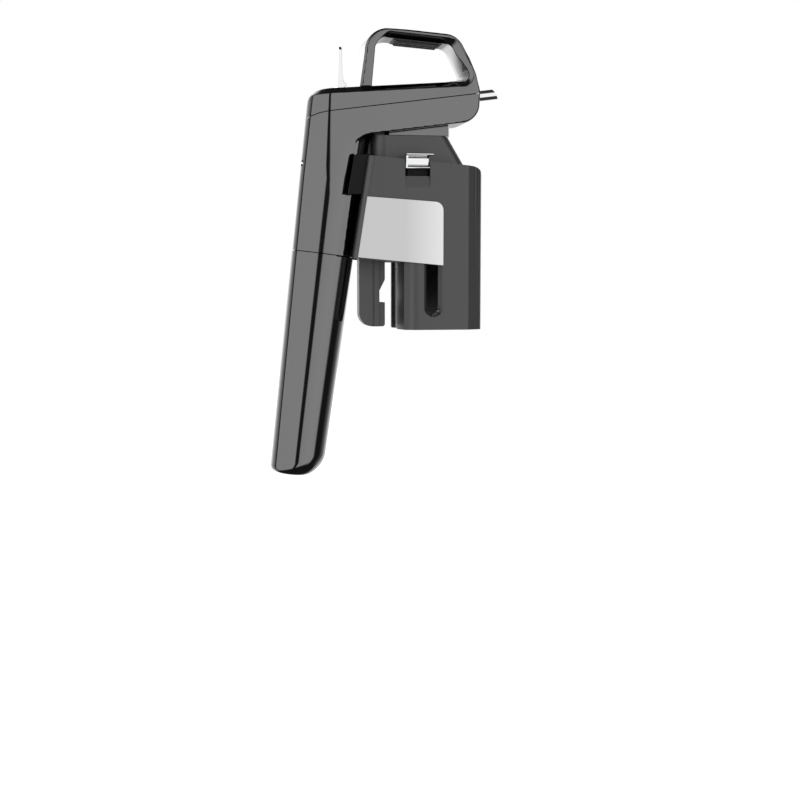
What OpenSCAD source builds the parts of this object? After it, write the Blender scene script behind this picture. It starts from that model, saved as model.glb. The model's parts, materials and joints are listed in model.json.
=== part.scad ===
// Wine preservation dispenser: a needle head that slides on a bottle clamp, with a gas capsule in its handle.
// Origin: centre of the bottle mouth, on the needle's axis. +Z up, +X towards the spout, millimetres.

/* [Clamp] */
// Width of the clamp shell
clamp_w = 43; // [42:0.5:46]
// From the needle axis to the clamp's front face
clamp_front = 18; // [17.8:0.1:20]
// From the needle axis to the back of the clamp's lower part
clamp_back = 24.2; // [23.5:0.1:25]
// Depth of the clamp shell below the bottle mouth
clamp_depth = 74.8; // [72:0.5:80]
// Radius of the shell's front upright corners
clamp_corner = 8.7; // [5:0.1:10]
// Radius of the shell's lower rear upright corners
rear_corner = 7; // [5:0.1:8]
// Height of the shell's top edge at the needle axis
shell_top = 5.3; // [5:0.1:5.6]
// Slope of the shell's top edge, in degrees
shell_slope = 5; // [4:0.5:5]
// Radius of the hole that the bottle neck enters
neck_hole_r = 16.2; // [16:0.05:16.4]
// Bore radius of the rubber neck liner
neck_r = 15.05; // [14.5:0.05:15.2]
// Height of the rubber neck liner
liner_len = 6; // [4:0.5:6.5]
// Thickness of the bright side plates
plate_t = 1; // [0.8:0.1:1.2]
// Height of the guide tower's top above the bottle mouth
tower_top = 19; // [18:0.1:19.2]
// Width of the guide tower
tower_w = 26; // [24:0.5:27]

/* [Window] */
// Width of the side window
window_w = 6.7; // [5:0.1:7]
// Height of the window's round lower end above the shell's bottom
window_foot = 7.5; // [7:0.1:9]
// Width of the bevel round the window
window_bevel = 1.3; // [0.5:0.1:1.5]

/* [Jaws] */
// Distance of the jaw pin from the needle axis
jaw_pin_y = 17.6; // [17.5:0.1:17.7]
// Depth of the jaw pin below the bottle mouth
jaw_pin_drop = 8.5; // [8:0.1:9]
// Radius of the jaw pin
jaw_pin_r = 1.25; // [1:0.05:1.4]
// Radial clearance of the jaw lever on its pin
pin_play = 0.06; // [0.03:0.01:0.09]
// Width of the chrome release tab
tab_w = 10; // [9:0.1:10.5]
// Radius of the jaw pads' hollow face, which grips below the bottle's lip
grip_r = 14; // [13.5:0.1:14.3]

/* [Rail] */
// Distance of the rail's back face behind the needle axis
rail_back = 41.8; // [41.5:0.1:42]
// Depth of the rail, front to back
rail_deep = 12.8; // [12.6:0.1:13]
// Depth of the rail's end below the bottle mouth
rail_end = 73.6; // [70:0.2:76]
// Thickness of the rail's plate
rail_t = 8; // [7:0.1:8.5]
// How far the rib stands out of each side of the rail
rib_out = 1.2; // [0.8:0.1:1.4]
// Gap between the rail and its guides
rail_gap = 0.3; // [0.2:0.05:0.4]

/* [Handle] */
// Lean of the handle from upright, in degrees
handle_lean = 7.3; // [7:0.1:7.5]
// Half depth of the handle, front to back, at the split line
handle_a = 15.25; // [15:0.05:15.4]
// Half width of the handle and the head
handle_b = 14; // [13.8:0.05:14.2]
// Growth of the half depth for each millimetre up the handle
handle_taper = 0.0205; // [0.015:0.0005:0.022]
// Depth of the cup's foot below the gas capsule
cup_foot = 9.3; // [8:0.1:14]
// Wall of the handle round the regulator
handle_wall = 2; // [1.8:0.1:2.1]
// Gap at the split line between handle and cup
split_gap = 0.25; // [0.15:0.05:0.3]

/* [Head] */
// Rise of the head towards the spout, in degrees
head_rise = 7.6; // [7:0.1:8]
// Height of the head's underside where it meets the handle
head_floor = 19.2; // [19.1:0.05:20]
// Height of the nose's front edge above the bottle mouth
nose_z = 42.5; // [42:0.1:43]
// Distance of the nose's front edge from the needle axis
nose_x = 17.6; // [17:0.1:21]
// Wall of the head
head_wall = 2.2; // [1.8:0.1:2.4]
// Width of the chamfer along the head's top edges
top_chamfer = 3; // [2:0.1:3.5]

/* [Loop] */
// Height of the loop's top above the bottle mouth
loop_top = 70.2; // [68:0.1:74]
// Depth of the loop, side to side
loop_w = 24; // [20:0.5:25]
// Thickness of the loop's bars
loop_t = 4.8; // [4.4:0.1:5.5]

/* [Needle] */
// Radius of the needle
needle_r = 0.8; // [0.7:0.05:0.85]
// Depth of the needle's tip below the bottle mouth
needle_reach = 56; // [50:0.5:60]
// Clearance of the needle in its guide
needle_play = 0.09; // [0.05:0.01:0.1]

/* [Spout] */
// Outer radius of the spout
spout_r = 2.55; // [2.3:0.05:2.8]
// Wall of the spout
spout_wall = 0.5; // [0.4:0.05:0.6]
// Distance that the spout stands out of the nose
spout_out = 10.4; // [8:0.2:16]

/* [Trigger] */
// Height of the trigger's tip above the bottle mouth
trigger_top = 61.7; // [58:0.1:64]
// Width of the trigger at its tip
trigger_tip_w = 10.6; // [8:0.2:12]
// Width of the trigger at its foot
trigger_foot_w = 15; // [12:0.2:16]
// Thickness of the trigger's tip
trigger_t = 1.3; // [1:0.1:1.6]

/* [Gas] */
// Radius of the gas capsule
capsule_r = 9.3; // [9:0.05:9.5]
// Length of the gas capsule's straight body
capsule_len = 70; // [66:0.5:72]
// Radius of the regulator
regulator_r = 11.5; // [11:0.05:11.6]
// Length of the regulator above the split line
regulator_len = 43; // [40:0.5:44]
// Radius of the regulator's threaded nose
nose_r = 10.45; // [10:0.05:10.5]
// Clearance between the threads of nose and cup
thread_play = 0.35; // [0.3:0.05:0.4]

/* [Hidden] */
$fn = 64;
hull_fn = 32;
far = 200;
eps = 0.01;

body_grey = [0.30, 0.30, 0.31];
clamp_grey = [0.24, 0.24, 0.245];
dark = [0.04, 0.04, 0.045];
chrome = [0.85, 0.86, 0.88];
steel = [0.66, 0.67, 0.69];
brass_tone = [0.75, 0.60, 0.30];
rubber_tone = [0.10, 0.10, 0.11];

// ---- Points and small helpers -------------------------------------------------------------------

// Points of an arc about [cx, cy] from angle a0 to a1
function arc(cx, cy, r, a0, a1, n = 10) =
    [for (i = [0:n]) let (a = a0 + (a1 - a0) * i / n) [cx + r * cos(a), cy + r * sin(a)]];

// Points of an ellipse with half axes a and b
function oval(a, b, n = 56) = [for (i = [0:n - 1]) [a * cos(360 * i / n), b * sin(360 * i / n)]];

// Side outline, given in X and Z, drawn w wide about Y = 0
module side_prism(points, w) {
    rotate([90, 0, 0]) linear_extrude(height = w, center = true) polygon(points);
}

// Cylinder from p along +X or +Z
module rod_x(p, r, len) { translate(p) rotate([0, 90, 0]) cylinder(r = r, h = len); }
module rod_z(p, r, len) { translate(p) cylinder(r = r, h = len); }

// The right side is drawn; the left side is its mirror image
module at_side(side) { if (side == "right") children(); else mirror([0, 1, 0]) children(); }

// Wire wound on a cylinder about Z, from z = 0 upwards, with its wire closed at both ends
module coil(r, wire_r, turns, pitch, sides = 6, steps = 16) {
    n = turns * steps;
    slope = atan(pitch / (2 * PI * r));
    points = [for (i = [0:n]) for (k = [0:sides - 1])
        let (a = 360 * i / steps, c = 360 * k / sides, out = r + wire_r * cos(c), up = wire_r * sin(c))
        [out * cos(a) + up * sin(slope) * sin(a), out * sin(a) - up * sin(slope) * cos(a),
         pitch * i / steps + up * cos(slope)]];
    walls = [for (i = [0:n - 1]) for (k = [0:sides - 1])
        let (a = i * sides + k, b = i * sides + (k + 1) % sides)
        each [[a, b, b + sides], [a, b + sides, a + sides]]];
    ends = [for (k = [1:sides - 2]) each [[0, k + 1, k], [n * sides, n * sides + k, n * sides + k + 1]]];
    polyhedron(points, concat(walls, ends));
}

// ---- Clamp: shared values -----------------------------------------------------------------------

half_w = clamp_w / 2;
cheek_in = 15;                           // inner face of the two cheeks that flank the handle
function shell_top_z(x) = shell_top - x * tan(shell_slope);
skirt_z = -42;                           // below this the shell reaches back only to its back plate
cheek_foot_x = -47.1;
cheek_foot_z = -40;
cheek_lean = 0.158;                      // run of the cheeks' back edge for each unit of height
cheek_top_x = cheek_foot_x + cheek_lean * (shell_top_z(-40) - cheek_foot_z);
back_arch_r = 60;                         // the lower back is arched, seen from above
function back_x(y) = -clamp_back + y * y / (2 * back_arch_r);
passage_front = -27.1;                    // front of the passage between the cheeks
skirt_back = passage_front - 1.5;
channel_half = 8;                         // upright channel in the lower back, with the cover plate in it
channel_floor = back_x(channel_half) + 1.4;
back_plate_t = 2.8;
back_plate_half = 6.5;
back_plate_margin = 3;
pad_t = 1.6;
ceiling_r = 3.2;
shell_front_round = 6.5;
shell_foot_chamfer = 0.8;
window_x = -7.95;
window_top = skirt_z;
window_foot_z = -clamp_depth + window_foot + window_w / 2;

// ---- Rail: shared values ------------------------------------------------------------------------

rail_plate_x = -rail_back + 7.2;         // front of the plain plate, back of the rib
rail_rib_x = rail_plate_x + 2.7;         // front of the rib, back of the front flange
rail_front_x = -rail_back + rail_deep;
rail_half = rail_t / 2;
rib_half = rail_half + rib_out;

// ---- Handle frame -------------------------------------------------------------------------------

handle_root = [-59.5, 0, -37.8];
module in_handle() { translate(handle_root) rotate([0, handle_lean, 0]) children(); }
function handle_half(h) = handle_a + handle_taper * h;
handle_bore = handle_b - handle_wall;
nose_len = 12;
bore_top = regulator_len + 1;
capsule_shoulder = -21;
capsule_foot = capsule_shoulder - capsule_len - capsule_r;
cup_len = cup_foot - capsule_foot;

// ---- Head: shared values ------------------------------------------------------------------------

head_slope = tan(head_rise);
function floor_z(x) = head_floor + (x + 40) * head_slope;
top_rear = [-61.4, 40.8];
top_slope = (nose_z + 3.4 - top_rear[1]) / (nose_x - 8 - top_rear[0]);
function top_z(x) = top_rear[1] + (x - top_rear[0]) * top_slope;
beam_start = -55;
fillet_r = 4.3;
seam_bend = [-57.4, 30];
function seam_z(x) = seam_bend[1] + (x - seam_bend[0]) * head_slope;

// The head's side outline, from the fillet under the head round the nose and back over the top
head_outline = concat(
    [[beam_start, floor_z(-40) - fillet_r]],
    arc(-40, floor_z(-40) - fillet_r, fillet_r, 180, 90, 6),
    [[0, floor_z(0)], [nose_x - 8.2, floor_z(0) + 1.2], [nose_x - 4.6, floor_z(0) + 3.4],
     [nose_x - 2.6, nose_z - 10.9], [nose_x - 1, nose_z - 3.6], [nose_x, nose_z],
     [nose_x - 3, top_z(nose_x - 3)], [beam_start, top_z(beam_start)]]);

// What lies above this outline is cut from the column of the handle
column_top = concat(
    [[-80, -60], [-30, -60], [-30, top_z(-30)]],
    [[top_rear[0], top_rear[1]]],
    arc(-61.2, 34.7, 6, 95, 165, 8),
    [[-80, -20]]);

// ---- Spout frame --------------------------------------------------------------------------------

spout_root = [nose_x + 0.3, 0, nose_z - 2.5];
module in_spout() { translate(spout_root) rotate([0, 90 - head_rise, 0]) children(); }
spout_shank_r = spout_r - 0.3;
spout_shank_len = 9;
spout_cut = 30;
spout_seal_at = -4.55;
spout_seal_wire = 0.5;

// Hole through the nose for the spout's shank, with a groove for its seal
module spout_bore() in_spout() {
    translate([0, 0, -20]) cylinder(r = spout_shank_r + 0.05, h = 30);
    translate([0, 0, spout_seal_at - 0.55]) cylinder(r = spout_shank_r + 0.1 + 2 * spout_seal_wire, h = 1.1);
}

// ---- Trigger: shared values ---------------------------------------------------------------------

trigger_axis = [-50.5, 0, 35.5];
trigger_pin_r = 1;
arm_w = 5;
arm_drop = 7.2;
stem_z = trigger_axis[2] - 6.6;
stem_tip_x = trigger_axis[0] - 1.3;

// ---- Clamp --------------------------------------------------------------------------------------

// Clamp shell seen from above, with true round front corners
module shell_plan() {
    difference() {
        translate([cheek_foot_x - 5, -half_w]) square([clamp_front - cheek_foot_x + 5, clamp_w]);
        for (s = [-1, 1]) difference() {
            translate([clamp_front - clamp_corner, s > 0 ? half_w - clamp_corner : -half_w - eps])
                square([clamp_corner + eps, clamp_corner + eps]);
            translate([clamp_front - clamp_corner, s * (half_w - clamp_corner)]) circle(r = clamp_corner);
        }
    }
}

// The same below the cheeks, with its arched back
module lower_plan() {
    slope = 14;                           // where the arch turns into the corner, in degrees
    side_y = half_w - rear_corner;
    corner_y = side_y + rear_corner * sin(slope);
    corner_x = back_x(corner_y) + rear_corner * cos(slope);
    intersection() {
        shell_plan();
        polygon(concat([[far, -half_w]], arc(corner_x, -side_y, rear_corner, 270, 180 + slope, 8),
            [for (i = [-6:6]) let (y = i * corner_y / 7) [back_x(y), y]],
            arc(corner_x, side_y, rear_corner, 180 - slope, 90, 8), [[far, half_w]]));
    }
}

shell_outline = concat(
    [[-clamp_back - 1, -clamp_depth], [clamp_front - shell_foot_chamfer, -clamp_depth],
     [clamp_front, -clamp_depth + shell_foot_chamfer]],
    arc(clamp_front - shell_front_round,
        shell_top_z(clamp_front - shell_front_round) - shell_front_round / cos(shell_slope),
        shell_front_round, 0, 90 - shell_slope, 8),
    [[cheek_top_x, shell_top_z(cheek_top_x)], [cheek_foot_x, cheek_foot_z],
     [skirt_back, skirt_z], [-clamp_back - 1, skirt_z]]);

// Window: a slot with a round lower end
module window_slot(grow, h) {
    r = window_w / 2 + grow;
    rotate([90, 0, 0]) {
        translate([window_x, window_foot_z, 0]) cylinder(r = r, h = h, $fn = hull_fn);
        translate([window_x - r, window_foot_z, 0]) cube([2 * r, window_top - window_foot_z, h]);
    }
}

// Bevel that widens the window towards the outer face
module window_bevel_cut() {
    hull() {
        translate([0, -half_w - eps, 0]) window_slot(window_bevel, eps);
        translate([0, -half_w + window_bevel, 0]) window_slot(0, eps);
    }
}

tab_back = -20;
tab_play = 0.3;
tab_foot = 2.4;
recess_foot = 0.1;
scoop_foot = -6.2;
scoop_depth = 1.3;
pocket_out = 20.4;
lever_gap = 0.3;
hub_r = 2.6;
hub_end = 7.8;
jaw_spring_r = 1.9;
jaw_spring_wire = 0.3;
jaw_spring_room = 3.9;

// Room inside the shell for one jaw lever and its tab
module jaw_room() {
    translate([-8.3, -pocket_out, -38]) cube([16.6, pocket_out - 11, 38 - 3]);
    translate([tab_back - 0.6, -pocket_out, -13]) cube([tab_w + 1.2, pocket_out - 12.5, 13 + tab_foot]);
    translate([tab_back - tab_play, -half_w - 1, recess_foot])
        cube([tab_w + 2 * tab_play, half_w - 11.5, 20]);
    // Channel for the lever's hub, room for the spring beyond it, and the pin's hole
    rod_x([tab_back - lever_gap, -jaw_pin_y, -jaw_pin_drop], hub_r + 0.4, hub_end - tab_back + 2 * lever_gap);
    rod_x([hub_end, -jaw_pin_y, -jaw_pin_drop], jaw_spring_r + jaw_spring_wire + 0.2, jaw_spring_room);
    rod_x([pin_start - 0.1, -jaw_pin_y, -jaw_pin_drop], jaw_pin_r + 0.02, pin_len + 0.2);
    // Finger scoop below the tab
    translate([tab_back - tab_play, 0, 0]) rotate([90, 0, 90]) linear_extrude(height = tab_w + 2 * tab_play)
        polygon([[-half_w, scoop_foot], [-half_w + scoop_depth, recess_foot + eps],
                 [-half_w - 1, recess_foot + eps], [-half_w - 1, scoop_foot]]);
}

module clamp_shell() color(clamp_grey) difference() {
    intersection() {
        union() {
            translate([0, 0, skirt_z]) linear_extrude(height = far) shell_plan();
            translate([0, 0, -clamp_depth - 1])
                linear_extrude(height = clamp_depth + 1 + skirt_z) lower_plan();
        }
        side_prism(shell_outline, clamp_w + 2);
    }
    rod_z([0, 0, -clamp_depth - 1], neck_hole_r, clamp_depth + 1);
    rod_z([0, 0, -eps], 13.2, pad_t + eps);
    rod_z([0, 0, 0], ceiling_r, 20);
    // The handle and the rail pass between the two cheeks
    translate([-far, -cheek_in, skirt_z]) cube([far + passage_front, 2 * cheek_in, far]);
    // Channel in the back, and the seat of the plate in it
    translate([-far, -channel_half, -clamp_depth - 1])
        cube([far + channel_floor, 2 * channel_half, clamp_depth + 1 + skirt_z]);
    back_plate(0.05);
    for (side = ["right", "left"]) at_side(side) {
        jaw_room();
        translate([0, -11, 0]) window_slot(0, 20);
        window_bevel_cut();
        shoe_prism(cheek_in - eps, shoe_out + 0.02);
    }
    tower_screw_holes(tower_screw_r + 0.02);
}

module back_plate(grow) {
    translate([channel_floor - 0.1, -back_plate_half - grow, -clamp_depth + back_plate_margin - grow])
        cube([back_plate_t + grow, 2 * (back_plate_half + grow),
              clamp_depth + skirt_z - 2 * back_plate_margin + 2 * grow]);
}

// Dark plate that lines the channel behind the neck
module clamp_back_plate() color(dark) back_plate(0);

tower_back = -36;
tower_front_top = 1.5;
tower_front_foot = 10.2;
tower_half = tower_w / 2;
tower_foot_z = shell_top_z(tower_front_foot);
bush_top = 14.5;
bush_r = 2.4;

tower_corner = 6;
// Tower seen from above, with its corners rounded
module tower_slice(front, z) {
    translate([0, 0, z]) linear_extrude(height = eps) union() {
        translate([tower_back, -tower_half + tower_corner])
            square([front - tower_back, tower_w - 2 * tower_corner]);
        for (x = [tower_back + tower_corner, front - tower_corner]) for (s = [-1, 1])
            translate([x, s * (tower_half - tower_corner)]) circle(r = tower_corner, $fn = hull_fn);
    }
}

module guide_tower() color(clamp_grey) difference() {
    hull() {
        tower_slice(tower_front_top, tower_top - eps);
        tower_slice(tower_front_foot, tower_foot_z);
    }
    // It stands on the shell's sloping top
    side_prism([[tower_back - 5, 0], [clamp_front, 0], [clamp_front, shell_top_z(clamp_front)],
                [tower_back - 5, shell_top_z(tower_back - 5)]], clamp_w);
    // The rail passes between its two back legs
    translate([-far, -rib_half - 1.2, 0]) cube([far + rail_front_x + 1, 2 * rib_half + 2.4, 40]);
    translate([0, 0, shell_top_z(0) - 2]) cylinder(r = bush_r, h = bush_top - shell_top_z(0) + 2);
    rod_z([0, 0, 0], needle_r + 0.3, 40);
    tower_screw_holes(tower_screw_r + 0.1);
    for (s = [-1, 1]) rod_z([tower_screw_x, s * tower_screw_y, tower_seat_z], tower_head_r + 0.1, 20);
}

tower_screw_x = -22;
tower_screw_y = 8;
tower_screw_r = 1.5;
tower_screw_foot = -4;
tower_head_r = 2.6;
tower_seat_z = 13;

module tower_screw_holes(r) {
    for (s = [-1, 1]) rod_z([tower_screw_x, s * tower_screw_y, tower_screw_foot - 0.2], r, 30);
}

// Screws that hold the tower down on the shell, sunk in its top
module tower_screws() color(steel) for (s = [-1, 1])
    translate([tower_screw_x, s * tower_screw_y, 0]) difference() {
        union() {
            rod_z([0, 0, tower_screw_foot], tower_screw_r, tower_seat_z - tower_screw_foot + 1);
            rod_z([0, 0, tower_seat_z + 0.02], tower_head_r, 2.6);
        }
        rod_z([0, 0, tower_seat_z + 1.2], 1.3, 3);
    }

// Bush that centres the needle
module needle_guide() color(steel) difference() {
    union() {
        rod_z([0, 0, pad_t + 0.4], ceiling_r - 0.02, shell_top_z(ceiling_r) - pad_t - 0.4);
        rod_z([0, 0, pad_t + 0.4], bush_r - 0.02, bush_top - pad_t - 0.4);
    }
    rod_z([0, 0, 0], needle_r + needle_play, 30);
    rod_z([0, 0, 0], needle_r + 1, pad_t + 1.4);
}

// Rubber ring that rests on the bottle's mouth
module mouth_pad() color(rubber_tone) difference() {
    rod_z([0, 0, 0], 13.15, pad_t);
    rod_z([0, 0, -1], 3.2, pad_t + 2);
}

// Rubber liner that centres the neck in the shell's lower end
module neck_liner() color(rubber_tone) difference() {
    rod_z([0, 0, -clamp_depth], neck_hole_r - 0.02, liner_len);
    rod_z([0, 0, -clamp_depth - 1], neck_r, liner_len + 2);
}

plate_top_z = -10.7;
plate_front = -3.3;
plate_foot_z = -43.7;
plate_round = 4.3;
function cheek_x(z) = cheek_foot_x + cheek_lean * (z - cheek_foot_z);

// Bright plate on the side of the clamp, without any mark
plate_outline = concat(
    [[cheek_x(cheek_foot_z) + 0.1, cheek_foot_z + 0.1], [plate_front, plate_foot_z]],
    arc(plate_front - plate_round, plate_top_z - 6.5, plate_round, 0, 85, 8),
    [[cheek_x(plate_top_z) + 0.1, plate_top_z]]);

module side_plate(side) color(chrome) at_side(side)
    translate([0, -half_w - plate_t / 2, 0]) side_prism(plate_outline, plate_t);

// Black lug that keeps the handle centred between the cheeks
shoe_out = 17.4;
shoe_outline = concat(
    [[-36.5, -9.7], [-48.9, -9.7]],
    arc(-44.3, 7.8, 1.8, 170, 90, 4),
    [[-38.6, 9.6], [-36.5, 7.4]]);

module shoe_prism(inner, outer) {
    translate([0, -(inner + outer) / 2, 0]) side_prism(shoe_outline, outer - inner);
}

module slide_shoe(side) color(dark) at_side(side) shoe_prism(cheek_in, shoe_out);

guide_back = -36.4;
guide_front = rail_front_x + 0.9;
guide_foot = -40;
guide_head = 6.8;

// Low-friction block that holds the rail's rib and flange on one side
module rail_guide(side) color(dark) at_side(side) difference() {
    translate([guide_back, -cheek_in, guide_foot])
        cube([guide_front - guide_back, cheek_in - rail_half - rail_gap, guide_head - guide_foot]);
    translate([rail_plate_x - rail_gap, -rib_half - rail_gap, guide_foot - 1])
        cube([rail_rib_x - rail_plate_x + 2 * rail_gap, rib_half + rail_gap, guide_head - guide_foot + 2]);
}

// ---- Jaws ---------------------------------------------------------------------------------------

pin_start = tab_back - 3.4;
pin_len = hub_end + jaw_spring_room + 1.6 - pin_start;

module jaw_pins() color(steel) for (side = ["right", "left"]) at_side(side)
    rod_x([pin_start, -jaw_pin_y, -jaw_pin_drop], jaw_pin_r, pin_len);

// Springs that close the jaws, wound round the pins beside the levers' hubs
module jaw_springs() color(steel) for (side = ["right", "left"]) at_side(side)
    translate([hub_end + jaw_spring_wire + 0.1, -jaw_pin_y, -jaw_pin_drop]) rotate([0, 90, 0])
        coil(r = jaw_spring_r, wire_r = jaw_spring_wire, turns = 3.5, pitch = 0.85);

jaw_foot = -32.5;
jaw_in = 15.1;
jaw_out = 17.7;
lever_in = 14.6;
lever_t = 2.6;
tab_in = lever_in + lever_t + 0.2;
tab_out = 22;

// Lever on the jaw pin: a tab arm above it, a gripping arm below it
module jaw_lever(side) color(dark) at_side(side) difference() {
    union() {
        rod_x([tab_back, -jaw_pin_y, -jaw_pin_drop], hub_r, hub_end - tab_back);
        translate([tab_back, -jaw_pin_y, -jaw_pin_drop]) cube([tab_w, 2.4, 4]);
        translate([tab_back, -lever_in - lever_t, -jaw_pin_drop + 1.6])
            cube([tab_w, lever_t, jaw_pin_drop + 5.4]);
        translate([-hub_end, -jaw_out, jaw_foot])
            cube([2 * hub_end, jaw_out - jaw_in, -jaw_foot - jaw_pin_drop]);
    }
    rod_x([tab_back - 5, -jaw_pin_y, -jaw_pin_drop], jaw_pin_r + pin_play, 40);
}

// Chrome tab, dished for the finger: a back wall, a rolled foot and a lip that curls outwards
tab_face = tab_in + 1.4;
tab_top = 9.9;
tab_outline = concat(
    [[-tab_in, tab_foot + 0.8], [-tab_in - 0.8, tab_foot]],
    arc(-tab_out + 0.8, tab_foot + 0.8, 0.8, 270, 90, 6),
    arc(-tab_face - 0.9, tab_foot + 2.5, 0.9, 270, 360, 4),
    arc(-tab_face - 1.6, tab_top - 2.8, 1.6, 0, 90, 4),
    [[-tab_out - 1.4, tab_top - 1.2]],
    arc(-tab_out - 1.7, tab_top - 0.6, 0.6, 270, 90, 5),
    arc(-tab_in - 2.4, tab_top - 2.4, 2.4, 90, 0, 5));
tab_cheek = concat(
    arc(-tab_out + 0.8, tab_foot + 0.8, 0.8, 270, 180, 4),
    [[-tab_out - 1.6, tab_top - 0.8], [-tab_in - 2.4, tab_top - 0.4], [-tab_in - 0.2, tab_foot + 2],
     [-tab_in - 0.8, tab_foot]]);

module release_tab(side) color(chrome) at_side(side) translate([tab_back, 0, 0]) rotate([90, 0, 90]) union() {
    linear_extrude(height = tab_w) polygon(tab_outline);
    // Cheek at its rear end
    linear_extrude(height = 0.9) polygon(tab_cheek);
}

// Rubber pad with a hollow face that grips the neck under the lip
module jaw_pad(side) color(rubber_tone) at_side(side) difference() {
    translate([-7.2, -jaw_in, jaw_foot + 1.5]) cube([14.4, 4, 12.5]);
    rod_z([0, 0, jaw_foot], grip_r, 20);
}

// ---- Head and handle ----------------------------------------------------------------------------

column_len = 84;
column_flare = 1.9;
flat_cut = 0.02;

// Tapered oval bar in the handle's frame, from height h0 to h1; its half width may grow on the way
module handle_column(h0, h1, growth = 0) {
    hull() for (h = [h0, h1 - eps]) translate([0, 0, h]) linear_extrude(height = eps)
        polygon(oval(handle_half(h), handle_b + (h == h0 ? 0 : growth)));
}

// Head seen from above: straight sides with round nose corners
module head_plan() {
    r = 3;
    translate([beam_start, -handle_b]) square([nose_x - r - beam_start, 2 * handle_b]);
    translate([nose_x - r - eps, -handle_b + r]) square([r + eps, 2 * (handle_b - r)]);
    for (s = [-1, 1]) translate([nose_x - r, s * (handle_b - r)]) circle(r = r);
}

chamfer_drop = top_chamfer * 0.75;

// Chamfers along both top edges of the head
module top_edges() {
    rise = atan(top_slope);
    for (s = [-1, 1]) translate([0, s * handle_b, top_z(0)]) rotate([0, -rise, 0])
        rotate([90, 0, 90]) translate([0, 0, -90]) linear_extrude(height = 120)
            polygon([[-s * top_chamfer, eps], [s * 6, eps], [s * 6, -chamfer_drop - 4.5],
                     [0, -chamfer_drop]]);
}

module head_outer() {
    difference() {
        union() {
            // The handle's bar widens on its way up, and its sides are cut flat
            intersection() {
                in_handle() handle_column(0, column_len, column_flare);
                side_prism(column_top, 2 * (handle_b - flat_cut));
            }
            intersection() {
                translate([0, 0, -20]) linear_extrude(height = 90) head_plan();
                side_prism(head_outline, 60);
            }
        }
        top_edges();
    }
}

// Everything under the seam between body and cover
module under_seam(grow = 0) {
    side_prism([[-90, -60], [40, -60], [40, seam_z(40) + grow], [seam_bend[0], seam_bend[1] + grow],
                [-65, 28.4 + grow], [-69.2, 26 + grow], [-90, 15 + grow]], 80);
}

// Room inside the head
head_in = handle_b - head_wall;
module head_room() {
    intersection() {
        translate([0, 0, 10]) linear_extrude(height = 60) {
            translate([beam_start, -head_in]) square([nose_x - 4.5 - beam_start, 2 * head_in]);
            translate([beam_start, 0]) circle(r = head_in - 1);
        }
        side_prism([[-70, floor_z(-40) + head_wall], [-40, floor_z(-40) + head_wall],
                    [0, floor_z(0) + head_wall], [nose_x - 5, floor_z(0) + 6.5],
                    [nose_x - 4.5, top_z(nose_x - 5) - head_wall - 1.6],
                    [top_rear[0], top_rear[1] - head_wall - 1], [-70, 33]], 60);
    }
}

cover_screw_x = [-24, nose_x - 11.6];
cover_screw_y = 9.2;
screw_r = 1;

module cover_posts(grow = 0) {
    for (x = cover_screw_x) for (s = [-1, 1]) rod_z([x, s * cover_screw_y, floor_z(x)], 2.4 + grow, 22);
}

module body_shell() color(body_grey) difference() {
    union() {
        difference() {
            intersection() {
                head_outer();
                under_seam();
            }
            head_room();
        }
        // Posts that the cover screws pass through
        intersection() {
            cover_posts();
            under_seam();
            side_prism([[-40, floor_z(-40) + 1], [30, floor_z(30) + 1], [30, 60], [-40, 60]], 60);
        }
    }
    // Bore for the regulator, stepped down above it
    in_handle() {
        translate([0, 0, -1]) cylinder(r = handle_bore, h = bore_top + 1);
        cylinder(r = 7.5, h = 66);
    }
    rod_z([riser_x, 0, 0], 3.4, 30);
    // Slot for the rail
    rail_prism(0.1, skirt_z - 20, rail_top + 0.1);
    rod_z([0, 0, 10], 2.6, 20);
    for (x = cover_screw_x) for (s = [-1, 1]) {
        rod_z([x, s * cover_screw_y, 0], screw_r + 0.15, 60);
        rod_z([x, s * cover_screw_y, 0], 1.9, floor_z(x) + 1.3);
    }
    for (x = rail_screw_at) rod_z([x, 0, 0], screw_r + 0.3, 40);
    spout_bore();
    vent_bore(1.55);
}

loop_foot_z = 43;
// Loop seen from the side: outer line, from the foot of the back leg round to the nose
loop_outer = concat(
    [[-42, loop_foot_z - 3], [-42, loop_foot_z], [-39.6, 59.6]],
    arc(-28.4, loop_top - 11.4, 11.4, 172, 93, 10),
    [[-19.7, loop_top - 0.3]],
    arc(nose_x - 18.1, loop_top - 12.2, 10.4, 86, 28, 8),
    [[nose_x - 5.2, loop_top - 13.1], [nose_x - 2.1, nose_z + 6.6], [nose_x, nose_z + 0.2],
     [nose_x - 1, nose_z - 2], [nose_x - 12, loop_foot_z - 3]]);

// The opening for the fingers
loop_inner = concat(
    [[-36.4, 41.5], [-34.7, 59.4]],
    arc(-28.3, loop_top - 10.5, loop_t + 1.6, 172, 90, 8),
    arc(nose_x - 17.9, loop_top - 11.4, loop_t + 0.2, 82, 26, 6),
    [[nose_x - 8.4, nose_z + 8.2]],
    arc(nose_x - 10.7, nose_z + 6.4, 2.7, 8, -75, 5));

// The same opening, widened by the bevel on its front and top edges
loop_bevel = [
    [-36.4, 41.5], [-35.1, 59.2], [-33.6, loop_top - 6.9], [-28.4, loop_top - 2.2],
    [nose_x - 16.7, loop_top - 3.6], [nose_x - 10.8, loop_top - 8.8], [nose_x - 5.6, nose_z + 9],
    [nose_x - 5.2, nose_z + 5.7], [nose_x - 6.9, nose_z + 2.9], [nose_x - 10.2, nose_z + 0.1]];

loop_half = loop_w / 2;
bevel_w = 3.6;

module loop_opening_bevel() {
    hull() {
        translate([0, -loop_half - 2.1, 0]) side_prism(loop_bevel, 0.02);
        translate([0, -loop_half + bevel_w, 0]) side_prism(loop_inner, 0.02);
    }
}

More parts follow.
